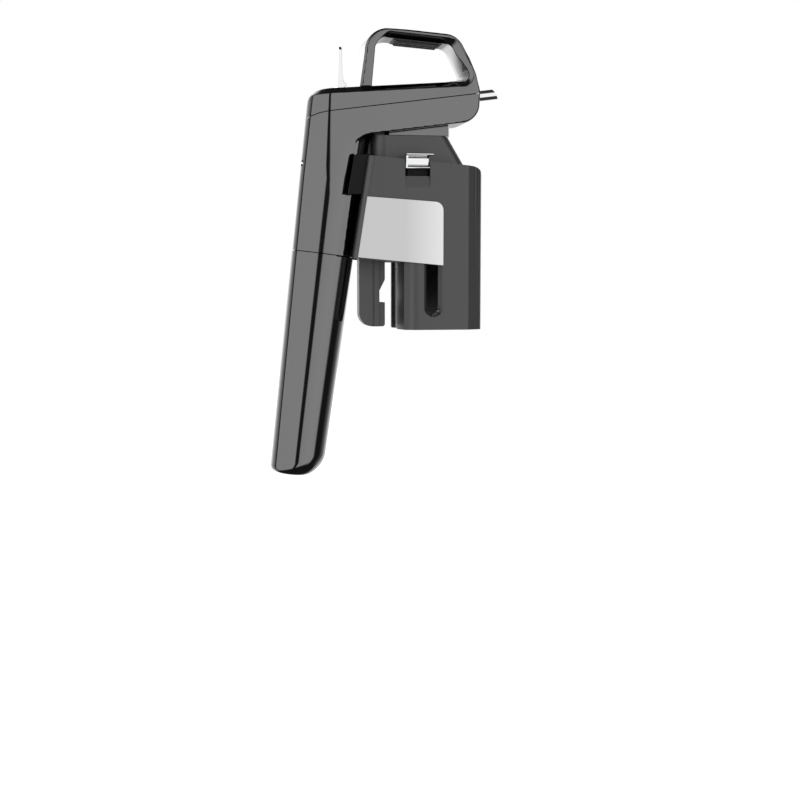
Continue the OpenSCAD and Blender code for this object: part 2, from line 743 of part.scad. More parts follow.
trigger_slot = [-54, -46];

module top_cover() color(body_grey) difference() {
    union() {
        difference() {
            head_outer();
            under_seam();
            head_room();
        }
        difference() {
            side_prism(loop_outer, loop_w);
            side_prism([[-60, 0], [40, 0], [40, top_z(40) - head_wall], [-60, top_z(-60) - head_wall]], 60);
        }
        // Posts that take the cover screws
        difference() {
            intersection() {
                cover_posts();
                side_prism([[-40, 20], [40, 20], [40, top_z(40) - 1], [-40, top_z(-40) - 1]], 60);
            }
            under_seam();
        }
    }
    side_prism(loop_inner, 60);
    for (side = ["right", "left"]) at_side(side) loop_opening_bevel();
    for (x = cover_screw_x) for (s = [-1, 1])
        rod_z([x, s * cover_screw_y, 20], screw_r + 0.02, seam_z(x) - 20 + 5.2);
    // Slot for the trigger
    translate([trigger_slot[0], -trigger_foot_w / 2 - 0.7, 34])
        cube([trigger_slot[1] - trigger_slot[0], trigger_foot_w + 1.4, 20]);
    spout_bore();
    inlay_prism();
}

inlay_x = [-25, -1];
inlay_t = 1;
inlay_w = 13;

// Where the ribbed inlay sits, under the loop's top bar
module inlay_prism() {
    side_prism([[inlay_x[0], 60], [inlay_x[0], loop_top - 4.4 + inlay_t],
                [inlay_x[1], loop_top - 6.15 + inlay_t], [inlay_x[1], 60]], inlay_w);
}

module grip_inlay() color(dark) union() {
    intersection() {
        inlay_prism();
        side_prism([[-40, loop_top - 3.6 - 0.3], [10, loop_top - 7.05 - 0.3], [10, 80], [-40, 80]], 40);
    }
    // Three ribs along the bar
    for (y = [-4.2, 0, 4.2]) translate([0, y, 0])
        side_prism([[inlay_x[0] + 0.6, loop_top - 4.2], [inlay_x[0] + 1.6, loop_top - 6.0],
                    [inlay_x[1] - 1.6, loop_top - 7.5], [inlay_x[1] - 0.6, loop_top - 6.0]], 1.6);
}

// ---- Rail ---------------------------------------------------------------------------------------

rail_top = floor_z(-36) + head_wall - 1.3;
rail_screw_at = [-38.5, -33.2];

// Rail seen from above: back plate, rib, front flange
module rail_plan(grow) {
    g = grow;
    translate([-rail_back - g, -rail_half - g]) square([rail_back + rail_front_x + 2 * g, rail_t + 2 * g]);
    translate([rail_plate_x - g, -rib_half - g])
        square([rail_rib_x - rail_plate_x + 2 * g, 2 * (rib_half + g)]);
}

module rail_prism(grow, z0, z1) {
    translate([0, 0, z0]) linear_extrude(height = z1 - z0) rail_plan(grow);
}

notch_top = -50.5;
notch_in = -61.7;
rail_round = 6.5;

module guide_rail() color(clamp_grey) difference() {
    rail_prism(0, -rail_end, rail_top);
    // Cam notch that opens the jaws at the top of the stroke
    side_prism([[rail_front_x + 1, notch_top + 1.5], [rail_front_x, notch_top], [rail_rib_x, notch_top - 5.7],
                [rail_rib_x, notch_in], [rail_front_x + 1, notch_in]], 30);
    // Rounded lower corners
    side_prism(concat([[-rail_back - 1, -rail_end - 1], [-rail_back - 1, -rail_end + rail_round]],
        arc(-rail_back + rail_round, -rail_end + rail_round, rail_round, 180, 270, 8),
        [[-rail_back + rail_round, -rail_end - 1]]), 30);
    side_prism(concat([[rail_front_x + 1, -rail_end - 1], [rail_front_x - 1.2, -rail_end - 1]],
        arc(rail_front_x - 1.2, -rail_end + 1.2, 1.2, 270, 360, 4),
        [[rail_front_x + 1, -rail_end + 1.2]]), 30);
    for (x = rail_screw_at) rod_z([x, 0, rail_top - 9.2], screw_r + 0.02, 30);
}

// Screws from inside the head down into the rail
module rail_screws() color(steel) for (x = rail_screw_at) {
    seat = floor_z(x) + head_wall + 0.3;
    union() {
        rod_z([x, 0, rail_top - 9], screw_r, seat + 0.1 - rail_top + 9);
        rod_z([x, 0, seat], 1.9, 1.4);
    }
}

wedge_foot = tower_top + 0.5;
wedge_half = 7.5;
wedge_front = 3.7;
wedge_bow_r = 16.5;
ferrule_r = 1.5;

// Wedge under the head that comes to rest on the tower
module wedge_seat() color(clamp_grey) difference() {
    intersection() {
        translate([0, 0, 10]) linear_extrude(height = 30) intersection() {
            translate([rail_front_x + 0.3, -wedge_half]) square([wedge_front - rail_front_x, 2 * wedge_half]);
            translate([wedge_front - wedge_bow_r, 0]) circle(r = wedge_bow_r);
        }
        side_prism([[-36, wedge_foot], [6, wedge_foot], [6, floor_z(0) + 0.7], [0, floor_z(0)],
                    [-36, floor_z(-36)]], 40);
    }
    rod_z([0, 0, 0], ferrule_r + 0.05, 40);
}

module cover_screws() color(steel) for (x = cover_screw_x) for (s = [-1, 1])
    translate([x, s * cover_screw_y, 0]) {
        rod_z([0, 0, floor_z(x) + 1.3 - eps], screw_r, seam_z(x) + 4.6 - floor_z(x) - 1.3);
        rod_z([0, 0, floor_z(x) + 0.3], 1.8, 1);
    }

vent_h = 42;
// A vent in the back wall of the handle
module vent_bore(r) {
    in_handle() translate([-handle_half(vent_h) - 2, -3, vent_h]) rotate([0, 90, 0]) cylinder(r = r, h = 5);
}

module vent_plug() color(chrome) in_handle()
    translate([-handle_half(vent_h) - 0.05, -3, vent_h]) rotate([0, 90, 0]) difference() {
        cylinder(r = 1.5, h = 1.6);
        translate([0, 0, -1]) cylinder(r = 0.5, h = 2);
    }

// ---- Wine way -----------------------------------------------------------------------------------

manifold_foot = floor_z(0) + head_wall + 1.1;
manifold_top = seam_z(0) - 0.6;
ferrule_top = manifold_foot + 3.4;
boss_len = spout_root[0] + 0.1;

// Block that joins needle, spout and gas tube
module manifold() color(brass_tone) difference() {
    union() {
        translate([-7, -6.5, manifold_foot]) cube([10, 13, manifold_top - manifold_foot]);
        in_spout() translate([0, 0, -boss_len]) cylinder(r = 3.1, h = boss_len - 7.6);
    }
    in_spout() translate([0, 0, -boss_len - 1]) cylinder(r = 1.4, h = 30);
    in_spout() translate([0, 0, -spout_shank_len - 0.1]) cylinder(r = spout_shank_r, h = 10);
    rod_z([0, 0, 0], ferrule_r + 0.05, ferrule_top + 0.1);
    rod_z([0, 0, ferrule_top], 1, 8);
    translate([-8, 4, gas_z(-7)]) rotate([0, 90, 0]) cylinder(r = 0.8, h = 8);
}

// Ferrule that carries the needle
module needle_ferrule() color(chrome) difference() {
    rod_z([0, 0, wedge_foot + 0.1], ferrule_r, ferrule_top - wedge_foot - 0.1);
    rod_z([0, 0, 0], needle_r + 0.01, 40);
}

needle_point = 3.2;

module needle() color(chrome) difference() {
    union() {
        rod_z([0, 0, -needle_reach + needle_point], needle_r,
              ferrule_top - 0.1 + needle_reach - needle_point);
        translate([0, 0, -needle_reach]) cylinder(r1 = 0.1, r2 = needle_r, h = needle_point);
    }
    rod_z([0, 0, -needle_reach + needle_point + 0.8], needle_r - 0.3, far);
    // Side holes near the tip
    for (z = [5, 7.5]) translate([0, 0, -needle_reach + z]) rotate([90, 0, 0])
        cylinder(r = 0.25, h = 4, center = true, $fn = 16);
}

// Ring seal between ferrule and body
module needle_seal() color(rubber_tone) translate([0, 0, floor_z(0) + 1.1]) rotate_extrude()
    translate([2.07, 0]) circle(r = 0.5, $fn = 24);

module spout_tube() color(chrome) in_spout() difference() {
    union() {
        cylinder(r = spout_r, h = spout_out);
        translate([0, 0, -spout_shank_len]) cylinder(r = spout_shank_r - 0.05, h = spout_shank_len + 0.1);
    }
    translate([0, 0, -spout_shank_len - 1])
        cylinder(r = spout_r - spout_wall - 0.35, h = spout_shank_len + 1.5);
    translate([0, 0, 0.4]) cylinder(r = spout_r - spout_wall, h = spout_out + 1);
    // The end is cut on the slant, its lower lip the longer
    translate([spout_r, 0, spout_out]) rotate([0, spout_cut, 0]) translate([-8, -10, 0]) cube([20, 20, 10]);
}

// Collar and seal inside the nose
module spout_collar() color(steel) in_spout() difference() {
    translate([0, 0, -7.4]) cylinder(r = 2.9, h = 1.6);
    translate([0, 0, -8]) cylinder(r = spout_shank_r + 0.02, h = 4);
}

module spout_seal() color(rubber_tone) in_spout() translate([0, 0, spout_seal_at]) rotate_extrude()
    translate([spout_shank_r + 0.04 + spout_seal_wire, 0]) circle(r = spout_seal_wire, $fn = 24);

// ---- Gas way ------------------------------------------------------------------------------------

valve_x = [-62, -53.3];
valve_r = 4;
riser_x = -54.6;
function gas_z(x) = stem_z + 1.5 + (x - valve_x[1]) * head_slope;

module gas_tube() color(steel) {
    run = -7.05 - valve_x[1];
    translate([valve_x[1] + 0.2, 4, gas_z(valve_x[1])]) rotate([0, 90 - head_rise, 0])
        difference() {
            cylinder(r = 1.2, h = run / cos(head_rise) - 0.55);
            translate([0, 0, -1]) cylinder(r = 0.7, h = 60);
        }
}

module gas_valve_body() color(brass_tone) difference() {
    union() {
        rod_x([valve_x[0], 0, stem_z], valve_r, valve_x[1] - valve_x[0]);
        translate([valve_x[1] - 5, 0, stem_z - 2]) cube([5, 6, 5.5]);
    }
    rod_x([valve_x[0] + 3, 0, stem_z], 0.95, 20);
    rod_x([valve_x[0] + 3.4, 0, stem_z], 2, 4.6);
    rod_z([riser_x - 2.5, 0, 0], 0.6, stem_z);
}

// Short pipe from the regulator's outlet up to the valve
module gas_riser() color(steel) difference() {
    rod_z([riser_x, 0, riser_z0], 1.3, stem_z - 3.95 - riser_z0 + 0.4);
    rod_x([valve_x[0], 0, stem_z], valve_r + 0.01, 20);
    rod_z([riser_x, 0, 0], 0.7, 40);
}

riser_z0 = 19.5;
regulator_joint = 30;                     // where body and cap of the regulator meet
piston_r = 8;

module regulator_body() color(brass_tone) in_handle() difference() {
    union() {
        translate([0, 0, 0.3]) cylinder(r = regulator_r, h = regulator_joint - 0.3);
        translate([0, 0, -nose_len]) cylinder(r = nose_r, h = nose_len + 1);
    }
    translate([0, 0, 8]) cylinder(r = piston_r + 0.2, h = regulator_joint);
    translate([0, 0, -nose_len - 1]) cylinder(r = 6.2, h = 9);
    translate([0, 0, -5]) cylinder(r = 3.02, h = 3.02);
    cylinder(r = 1, h = 20, center = true);
}

module regulator_cap() color(steel) difference() {
    union() {
        in_handle() translate([0, 0, regulator_joint])
            cylinder(r = regulator_r, h = regulator_len - regulator_joint);
        intersection() {
            rod_z([riser_x, 0, -4], 3, riser_z0 + 4);
            in_handle() translate([-20, -20, regulator_joint + 2]) cube([40, 40, 40]);
        }
    }
    in_handle() translate([0, 0, regulator_joint - 1]) cylinder(r = 4, h = 8);
    rod_z([riser_x, 0, -6], 0.7, 40);
}

module regulator_piston() color(steel) in_handle() {
    translate([0, 0, 8.2]) cylinder(r = piston_r, h = 4);
    translate([0, 0, 12.1]) cylinder(r = 3, h = 8);
}

module regulator_spring() color(steel) in_handle() translate([0, 0, 13.1])
    coil(r = 5.6, wire_r = 0.7, turns = 6, pitch = 2.6);

// Hollow point that opens the capsule
module capsule_piercer() color(chrome) in_handle() translate([0, 0, -9.6]) difference() {
    union() {
        cylinder(r1 = 0.4, r2 = 1.1, h = 2.2);
        translate([0, 0, 2.2]) cylinder(r = 1.1, h = 3.4);
        translate([0, 0, 5.4]) cylinder(r = 3, h = 2.2);
    }
    translate([0, 0, -1]) cylinder(r = 0.25, h = 12, $fn = 16);
}

module capsule_seal() color(rubber_tone) in_handle() translate([0, 0, -5.2]) difference() {
    cylinder(r = 6, h = 1);
    translate([0, 0, -1]) cylinder(r = 1.3, h = 3);
}

// ---- Trigger ------------------------------------------------------------------------------------

// Trigger seen from the side: blade, flared foot and the arm that works the valve
trigger_outline = [
    [trigger_axis[0] - 1, trigger_axis[2] - arm_drop], [trigger_axis[0] + 1, trigger_axis[2] - arm_drop],
    [trigger_axis[0] + 2.2, trigger_axis[2]], [trigger_axis[0] + 1, 41.8],
    [trigger_axis[0] + 2.3, 42.9], [trigger_axis[0] + 2.3, 43.4], [trigger_axis[0] + 0.9, 44.8],
    [trigger_axis[0] + 0.3, 48.4],
    [trigger_axis[0] + 0.4, trigger_top - 0.6], [trigger_axis[0] + 0.1, trigger_top],
    [trigger_axis[0] + 0.4 - trigger_t, trigger_top], [trigger_axis[0] + 0.2 - trigger_t, trigger_top - 0.6],
    [trigger_axis[0] - 2.1, 42.6], [trigger_axis[0] - 2.2, trigger_axis[2]]];

module trigger() color(chrome) difference() {
    intersection() {
        side_prism(trigger_outline, 30);
        // Seen from behind: wide at the foot, narrow at the tip and at the arm
        rotate([90, 0, 90]) translate([0, 0, -70]) linear_extrude(height = 40) polygon([
            [-arm_w / 2, 20], [arm_w / 2, 20], [arm_w / 2, 40.5], [trigger_foot_w / 2, 41.4],
            [trigger_foot_w / 2, 43.4], [trigger_tip_w / 2, trigger_top - 1.4],
            [trigger_tip_w / 2 - 1.6, trigger_top + 0.2], [-trigger_tip_w / 2 + 1.6, trigger_top + 0.2],
            [-trigger_tip_w / 2, trigger_top - 1.4], [-trigger_foot_w / 2, 43.4],
            [-trigger_foot_w / 2, 41.4], [-arm_w / 2, 40.5]]);
    }
    translate(trigger_axis) rotate([90, 0, 0]) cylinder(r = trigger_pin_r + pin_play, h = 20, center = true);
}

module trigger_pin() color(steel) translate(trigger_axis) rotate([90, 0, 0])
    cylinder(r = trigger_pin_r, h = 2 * head_in - 0.1, center = true);

module trigger_spring() color(steel) translate([trigger_axis[0], -3.4, trigger_axis[2]]) rotate([90, 0, 0])
    coil(r = 1.75, wire_r = 0.3, turns = 4, pitch = 0.8);

// Stem that the trigger's arm pushes into the valve
module valve_stem() color(steel) union() {
    rod_x([valve_x[0] + 5.6, 0, stem_z], 0.85, stem_tip_x - valve_x[0] - 5.6);
    rod_x([valve_x[0] + 5.2, 0, stem_z], 1.8, 2);
}

// ---- Capsule and cup ----------------------------------------------------------------------------

capsule_wall = 1.3;
capsule_neck_r = 3.8;

// Steel bottle of gas, hollow, its mouth pierced
module gas_capsule() color(steel) in_handle() difference() {
    rotate_extrude() polygon(concat(
        [[0, -8], [capsule_neck_r - 0.4, -8], [capsule_neck_r, -8.6], [capsule_neck_r, -12.5],
         [capsule_neck_r + 0.8, -14.5]],
        arc(capsule_r - 5, capsule_shoulder - 2.6, 5, 62, 0, 6),
        arc(0, capsule_shoulder - capsule_len, capsule_r, 0, -90, 12)));
    rotate_extrude() polygon(concat(
        [[0, capsule_shoulder + 4], [1.5, capsule_shoulder + 4]],
        arc(capsule_r - 5, capsule_shoulder - 2.6, 5 - capsule_wall, 62, 0, 6),
        arc(0, capsule_shoulder - capsule_len, capsule_r - capsule_wall, 0, -90, 12)));
    translate([0, 0, capsule_shoulder]) cylinder(r = 1.4, h = -capsule_shoulder);
}

cup_bore = capsule_r + 0.9;
ring_r = handle_bore;
ring_len = nose_len + 0.6;

// Side outline of the cup, in the handle's own frame
cup_outline = concat(
    [[-20, -split_gap], [20, -split_gap], [20, -cup_len + 20]],
    arc(handle_half(-cup_len) - 12.9, -cup_len + 13, 13, 0, -82, 10),
    [[-1.5, -cup_len]],
    arc(-handle_half(-cup_len) + 2.6, -cup_len + 3.1, 2.4, 262, 180, 4),
    [[-20, -cup_len + 6]]);

module capsule_cup() color(body_grey) in_handle() difference() {
    intersection() {
        handle_column(-cup_len, -split_gap + eps);
        side_prism(cup_outline, 60);
        // Rounded foot, seen from behind
        rotate([90, 0, 90]) linear_extrude(height = 60, center = true) polygon(concat(
            [[handle_b + 2, 0], [-handle_b - 2, 0], [-handle_b - 2, -cup_len + 8]],
            arc(-handle_b + 6, -cup_len + 6, 6, 180, 270, 6), arc(handle_b - 6, -cup_len + 6, 6, 270, 360, 6),
            [[handle_b + 2, -cup_len + 8]]));
    }
    translate([0, 0, -ring_len - 0.4]) cylinder(r = ring_r, h = ring_len + 1);
    translate([0, 0, capsule_foot - 1.9]) cylinder(r = cup_bore, h = -capsule_foot);
}

module cup_thread_ring() color(brass_tone) in_handle() difference() {
    translate([0, 0, -ring_len - 0.38]) cylinder(r = ring_r - 0.02, h = ring_len - 0.4);
    translate([0, 0, -ring_len - 1]) cylinder(r = nose_r + thread_play, h = ring_len + 2);
}

module cup_base_pad() color(rubber_tone) in_handle() difference() {
    translate([0, 0, capsule_foot - 1.88]) cylinder(r = cup_bore - 0.05, h = 3.4);
    translate([0, 0, capsule_shoulder - capsule_len]) sphere(r = capsule_r + 0.02);
}

// ---- Output -------------------------------------------------------------------------------------

clamp_shell();
clamp_back_plate();
guide_tower();
side_plate("right");  // side_plate_right
side_plate("left");  // side_plate_left
slide_shoe("right");  // slide_shoe_right
slide_shoe("left");  // slide_shoe_left
rail_guide("right");  // rail_guide_right
rail_guide("left");  // rail_guide_left
neck_liner();
mouth_pad();
needle_guide();
jaw_pins();
jaw_springs();
tower_screws();
jaw_lever("right");  // jaw_lever_right
release_tab("right");  // release_tab_right
jaw_pad("right");  // jaw_pad_right
jaw_lever("left");  // jaw_lever_left
release_tab("left");  // release_tab_left
jaw_pad("left");  // jaw_pad_left
body_shell();
top_cover();
grip_inlay();
guide_rail();
rail_screws();
wedge_seat();
cover_screws();
vent_plug();
manifold();
needle_ferrule();
needle();
needle_seal();
spout_tube();
spout_collar();
spout_seal();
gas_tube();
gas_valve_body();
gas_riser();
regulator_body();
regulator_cap();
regulator_piston();
regulator_spring();
capsule_piercer();
capsule_seal();
trigger_pin();
trigger_spring();
trigger();
valve_stem();
gas_capsule();
capsule_cup();
cup_thread_ring();
cup_base_pad();
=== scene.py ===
"""Dresses the wine dispenser: glossy handle and head, matte clamp, bright plates, plain studio.

A size that also stands in the part's source keeps that source's value.
"""
import json
import math

import bmesh
import bpy
import numpy as np
from mathutils import Matrix, Vector


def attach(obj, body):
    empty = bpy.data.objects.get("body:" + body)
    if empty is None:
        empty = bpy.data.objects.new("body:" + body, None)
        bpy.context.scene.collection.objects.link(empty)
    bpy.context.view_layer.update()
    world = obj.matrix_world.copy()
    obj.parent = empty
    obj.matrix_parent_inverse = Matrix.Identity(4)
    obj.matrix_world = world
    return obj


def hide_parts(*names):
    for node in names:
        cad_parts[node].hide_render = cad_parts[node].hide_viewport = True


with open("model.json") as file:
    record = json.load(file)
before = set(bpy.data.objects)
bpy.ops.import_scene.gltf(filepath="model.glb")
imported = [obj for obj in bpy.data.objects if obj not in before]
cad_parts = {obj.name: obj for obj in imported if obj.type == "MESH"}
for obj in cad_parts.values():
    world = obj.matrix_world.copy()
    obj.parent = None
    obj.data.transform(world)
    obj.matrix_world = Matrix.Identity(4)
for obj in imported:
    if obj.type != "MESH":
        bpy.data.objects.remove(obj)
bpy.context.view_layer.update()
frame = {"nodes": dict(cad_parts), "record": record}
MM = 0.001

# ---- Camera --------------------------------------------------------------------------------------

bpy.context.scene.view_settings.view_transform = "Standard"

CAMERA_AT = (-0.1380, -0.6651, -0.0458)
CAMERA_AZIMUTH = math.radians(-10)
CAMERA_ELEVATION = math.radians(5.5)
SENSOR_WIDTH = 36
LENS = 60.75


def add_camera():
    """The photograph's camera: its lens, its place beside the bottle and its slight tilt down."""
    data = bpy.data.cameras.new("camera")
    data.sensor_width = SENSOR_WIDTH
    data.lens = LENS
    camera = bpy.data.objects.new("camera", data)
    bpy.context.collection.objects.link(camera)
    camera.location = CAMERA_AT
    camera.rotation_euler = (math.pi / 2 - CAMERA_ELEVATION, 0, CAMERA_AZIMUTH)
    bpy.context.scene.camera = camera


add_camera()

# ---- Shader helpers ------------------------------------------------------------------------------

WHITE = (1, 1, 1, 1)
BLACK = (0, 0, 0, 1)


def grey(level):
    return level, level, level, 1


class Graph:
    """Short calls for adding nodes to a material's or the world's tree."""

    def __init__(self, tree):
        self.tree = tree
        tree.nodes.clear()

    def add(self, kind, inputs=None, **settings):
        """Adds a node; inputs are values or other nodes' outputs, by the socket's name or place."""
        made = self.tree.nodes.new(kind)
        for key, value in settings.items():
            setattr(made, key, value)
        for key, value in (inputs or {}).items():
            self.put(made.inputs[key], value)
        return made

    def put(self, socket, value):
        if isinstance(value, bpy.types.NodeSocket):
            self.tree.links.new(value, socket)
        else:
            socket.default_value = value

    def math(self, operation, *values):
        made = self.add("ShaderNodeMath", operation=operation)
        for socket, value in zip(made.inputs, values):
            self.put(socket, value)
        return made.outputs[0]

    def mix(self, factor, a, b):
        made = self.add("ShaderNodeMix", data_type="RGBA")
        for key, value in (("Factor", factor), ("A", a), ("B", b)):
            socket = [s for s in made.inputs if s.name == key and s.enabled][0]
            self.put(socket, value)
        return [s for s in made.outputs if s.enabled][0]

    def spread(self, value, low, high, to_low=0.0, to_high=1.0):
        """Maps the value from low and high to another range."""
        return self.add("ShaderNodeMapRange", {"Value": value, "From Min": low, "From Max": high,
                                               "To Min": to_low, "To Max": to_high}).outputs[0]

    def ramp(self, factor, stops):
        """Grey levels at places from 0 to 1."""
        made = self.add("ShaderNodeValToRGB", {"Fac": factor})
        elements = made.color_ramp.elements
        while len(elements) > 1:
            elements.remove(elements[-1])
        for i, (at, level) in enumerate(stops):
            element = elements[0] if i == 0 else elements.new(at)
            element.position = at
            element.color = grey(level)
        return made.outputs["Color"]


# ---- World, floor --------------------------------------------------------------------------------

# What gloss sees round the horizon: (degrees from the -Y side towards +X, grey level)
BANDS = [
    (-180, 1.3), (-172, 1.8), (-150, 1.5), (-140, 1.05), (-130, 0.7), (-123, 0.45), (-119, 0.42),
    (-117, 0.03), (-112.5, 0.03), (-110.5, 1.0), (-60, 1.02), (-20, 1.02), (-17, 0.03), (-4, 0.03),
    (-1, 0.96), (12, 1.01), (40, 1.06), (62, 1.0), (70, 0.03), (98, 0.04), (112, 0.25),
    (122, 0.45), (134, 1.0), (150, 1.2), (163, 0.6), (173, 0.6), (180, 1.3),
]
# The same from straight down, 0, to straight up, 1
HEIGHT_BANDS = [(0.0, 0.02), (0.16, 0.03), (0.24, 1.0), (0.76, 1.0), (0.86, 0.04), (1.0, 0.02)]
DARKEST = 0.035
SOFT_LIGHT = 0.92

FLOOR_Z = -0.310
FLOOR_RADIUS = 3
FLOOR_SIDES = 96
FLOOR_TONE = 0.8
FLOOR_GLOW = 0.55


def add_world():
    """A white studio with even light. Gloss sees bright walls with dark flags between them, and a
    dark ceiling and ground."""
    world = bpy.data.worlds.new("studio")
    bpy.context.scene.world = world
    world.use_nodes = True
    g = Graph(world.node_tree)
    direction = g.add("ShaderNodeTexCoord").outputs["Generated"]
    x, y, z = g.add("ShaderNodeSeparateXYZ", {0: direction}).outputs
    turn = g.math("DIVIDE", g.math("ARCTAN2", x, g.math("MULTIPLY", y, -1)), 2 * math.pi)
    around = g.ramp(g.math("ADD", turn, 0.5), [((a + 180) / 360, level) for a, level in BANDS])
    up = g.ramp(g.math("ADD", g.math("MULTIPLY", z, 0.5), 0.5), HEIGHT_BANDS)
    walls = g.add("ShaderNodeVectorMath", {0: around, 1: up}, operation="MULTIPLY").outputs[0]
    walls = g.add("ShaderNodeVectorMath", {0: walls, 1: (DARKEST,) * 3},
                  operation="MAXIMUM").outputs[0]
    seen = g.add("ShaderNodeLightPath").outputs
    light = g.mix(seen["Is Glossy Ray"], grey(SOFT_LIGHT), walls)
    colour = g.mix(seen["Is Camera Ray"], light, WHITE)
    shade = g.add("ShaderNodeBackground", {"Color": colour, "Strength": 1.0})
    g.add("ShaderNodeOutputWorld", {"Surface": shade.outputs[0]})


def add_floor():
    """Floor under the bottle's foot. The camera sees it white, with the object's soft shadow."""
    bpy.ops.mesh.primitive_circle_add(vertices=FLOOR_SIDES, radius=FLOOR_RADIUS, fill_type="NGON",
                                      location=(0, 0, FLOOR_Z))
    floor = bpy.context.object
    floor.name = "floor"
    floor.visible_glossy = False
    material = bpy.data.materials.new("floor_white")
    material.use_nodes = True
    g = Graph(material.node_tree)
    diffuse = g.add("ShaderNodeBsdfDiffuse", {"Color": grey(FLOOR_TONE)})
    glow = g.add("ShaderNodeEmission", {"Color": WHITE, "Strength": FLOOR_GLOW})
    both = g.add("ShaderNodeAddShader", {0: diffuse.outputs[0], 1: glow.outputs[0]})
    seen = g.add("ShaderNodeLightPath").outputs["Is Camera Ray"]
    mixed = g.add("ShaderNodeMixShader", {0: seen, 1: diffuse.outputs[0], 2: both.outputs[0]})
    g.add("ShaderNodeOutputMaterial", {"Surface": mixed.outputs[0]})
    floor.data.materials.append(material)


add_world()
add_floor()

# ---- Materials -----------------------------------------------------------------------------------

NOISE_DETAIL = 3.0
NOISE_ROUGHNESS = 0.55
FINISHES = {}


def add_finish(name, base, metallic, roughness, grain, rough_spread, bump=0.0, stretch=(1, 1, 1),
               tone_spread=0.0, painted_shade_ramp=None, **sockets):
    """Makes a procedural finish. grain and bump are its texture's size and depth, in millimetres.
    rough_spread and tone_spread are how far roughness and tone vary with the texture, and stretch
    scales it. painted_shade_ramp paints shade by darkening the tone towards the rear: (rear X,
    level there, front X, level there), with X in millimetres."""
    material = bpy.data.materials.new(name)
    material.use_nodes = True
    g = Graph(material.node_tree)
    shader = g.add("ShaderNodeBsdfPrincipled",
                   {"Base Color": (*base, 1), "Metallic": metallic, "Roughness": roughness,
                    **sockets})
    local = g.add("ShaderNodeTexCoord").outputs["Object"]
    scaled = g.add("ShaderNodeMapping", {"Vector": local, "Scale": stretch}).outputs[0]
    noise = g.add("ShaderNodeTexNoise",
                  {"Vector": scaled, "Scale": 1 / (grain * MM), "Detail": NOISE_DETAIL,
                   "Roughness": NOISE_ROUGHNESS}).outputs["Fac"]
    if bump:
        depth = g.add("ShaderNodeBump", {"Height": noise, "Strength": 1.0, "Distance": bump * MM})
        g.put(shader.inputs["Normal"], depth.outputs[0])
    g.put(shader.inputs["Roughness"],
          g.spread(noise, 0.25, 0.75, roughness - rough_spread, roughness + rough_spread))
    if tone_spread:
        dim = [c * (1 - tone_spread) for c in base]
        lit = [min(1, c * (1 + tone_spread)) for c in base]
        tone = g.mix(g.spread(noise, 0.3, 0.7), (*dim, 1), (*lit, 1))
        # Painted shade: the tone darkens towards the rear X, standing in for the light falling off
        # there
        if painted_shade_ramp:
            rear, rear_shade_level, front, front_shade_level = painted_shade_ramp
            along = g.add("ShaderNodeSeparateXYZ", {0: local}).outputs[0]
            level = g.spread(along, rear * MM, front * MM, rear_shade_level, front_shade_level)
            tone = g.mix(level, BLACK, tone)
        g.put(shader.inputs["Base Color"], tone)
    g.add("ShaderNodeOutputMaterial", {"Surface": shader.outputs[0]})
    FINISHES[name] = material


add_finish("body_gloss", (0.187, 0.187, 0.19), metallic=1.0, roughness=0.07, grain=9,
           rough_spread=0.02)
add_finish("clamp_matte", (0.113, 0.113, 0.115), metallic=0.85, roughness=0.45, grain=0.35,
           rough_spread=0.05, bump=0.004, tone_spread=0.04)
# The side plates carry painted shade: their tone is darker towards the rear than at the front
add_finish("side_plate", (0.975, 0.975, 0.98), metallic=1.0, roughness=0.16, grain=0.5,
           rough_spread=0.04, bump=0.001, stretch=(1, 1, 0.02), tone_spread=0.015,
           painted_shade_ramp=(-22, 0.6, 14, 1.0))
add_finish("black_plastic", (0.004, 0.004, 0.004), metallic=0.0, roughness=0.4, grain=0.3,
           rough_spread=0.06, bump=0.006, **{"Specular IOR Level": 0.2})
add_finish("grip_rubber", (0.05, 0.05, 0.052), metallic=0.0, roughness=0.5, grain=0.3,
           rough_spread=0.06, bump=0.006, **{"Specular IOR Level": 0.3})
add_finish("bright_chrome", (0.88, 0.885, 0.89), metallic=1.0, roughness=0.05, grain=4,
           rough_spread=0.02)
add_finish("needle_steel", (0.78, 0.79, 0.8), metallic=1.0, roughness=0.14, grain=0.4,
           rough_spread=0.04, stretch=(1, 1, 0.05))
add_finish("inner_steel", (0.6, 0.61, 0.62), metallic=1.0, roughness=0.3, grain=0.4,
           rough_spread=0.06, bump=0.002)
add_finish("inner_brass", (0.75, 0.57, 0.26), metallic=1.0, roughness=0.28, grain=0.5,
           rough_spread=0.06, bump=0.002, tone_spread=0.05)
add_finish("seal_rubber", (0.02, 0.02, 0.022), metallic=0.0, roughness=0.7, grain=0.4,
           rough_spread=0.08, bump=0.01)

record = frame["record"]
slot_of = {row["node"]: row["material_slot"] for row in record["subparts"]}
body_of = {node: body for body, nodes in record["behaviour"]["bodies"].items() for node in nodes}


def paint(piece, slot):
    piece.data.materials.clear()
    piece.data.materials.append(FINISHES[slot])


for name, piece in frame["nodes"].items():
    paint(piece, slot_of[name])

# ---- Fields: distances from a surface in millimetres, negative inside it -------------------------

FIELD_STEP = 0.02
TINY = 1e-9


def smooth(value, start, end):
    """0 before start, 1 after end, and a smooth rise between them."""
    t = np.clip((value - start) / (end - start), 0, 1)
    return t * t * (3 - 2 * t)


def soft_min(a, b, reach):
    """Joins two fields with a fillet whose size follows reach."""
    near = np.clip(1 - np.abs(a - b) / reach, 0, None)
    return np.minimum(a, b) - near * near * reach / 4


def soft_max(a, b, reach):
    """Where both fields are inside, with a slight blend where they meet at a low angle."""
    return -soft_min(-a, -b, reach)


def round_max(a, b, radius):
    """Where both fields are inside, with the edge between them rounded to radius."""
    a, b = a + radius, b + radius
    corner = np.hypot(np.maximum(a, 0), np.maximum(b, 0))
    return np.minimum(np.maximum(a, b), 0) + corner - radius


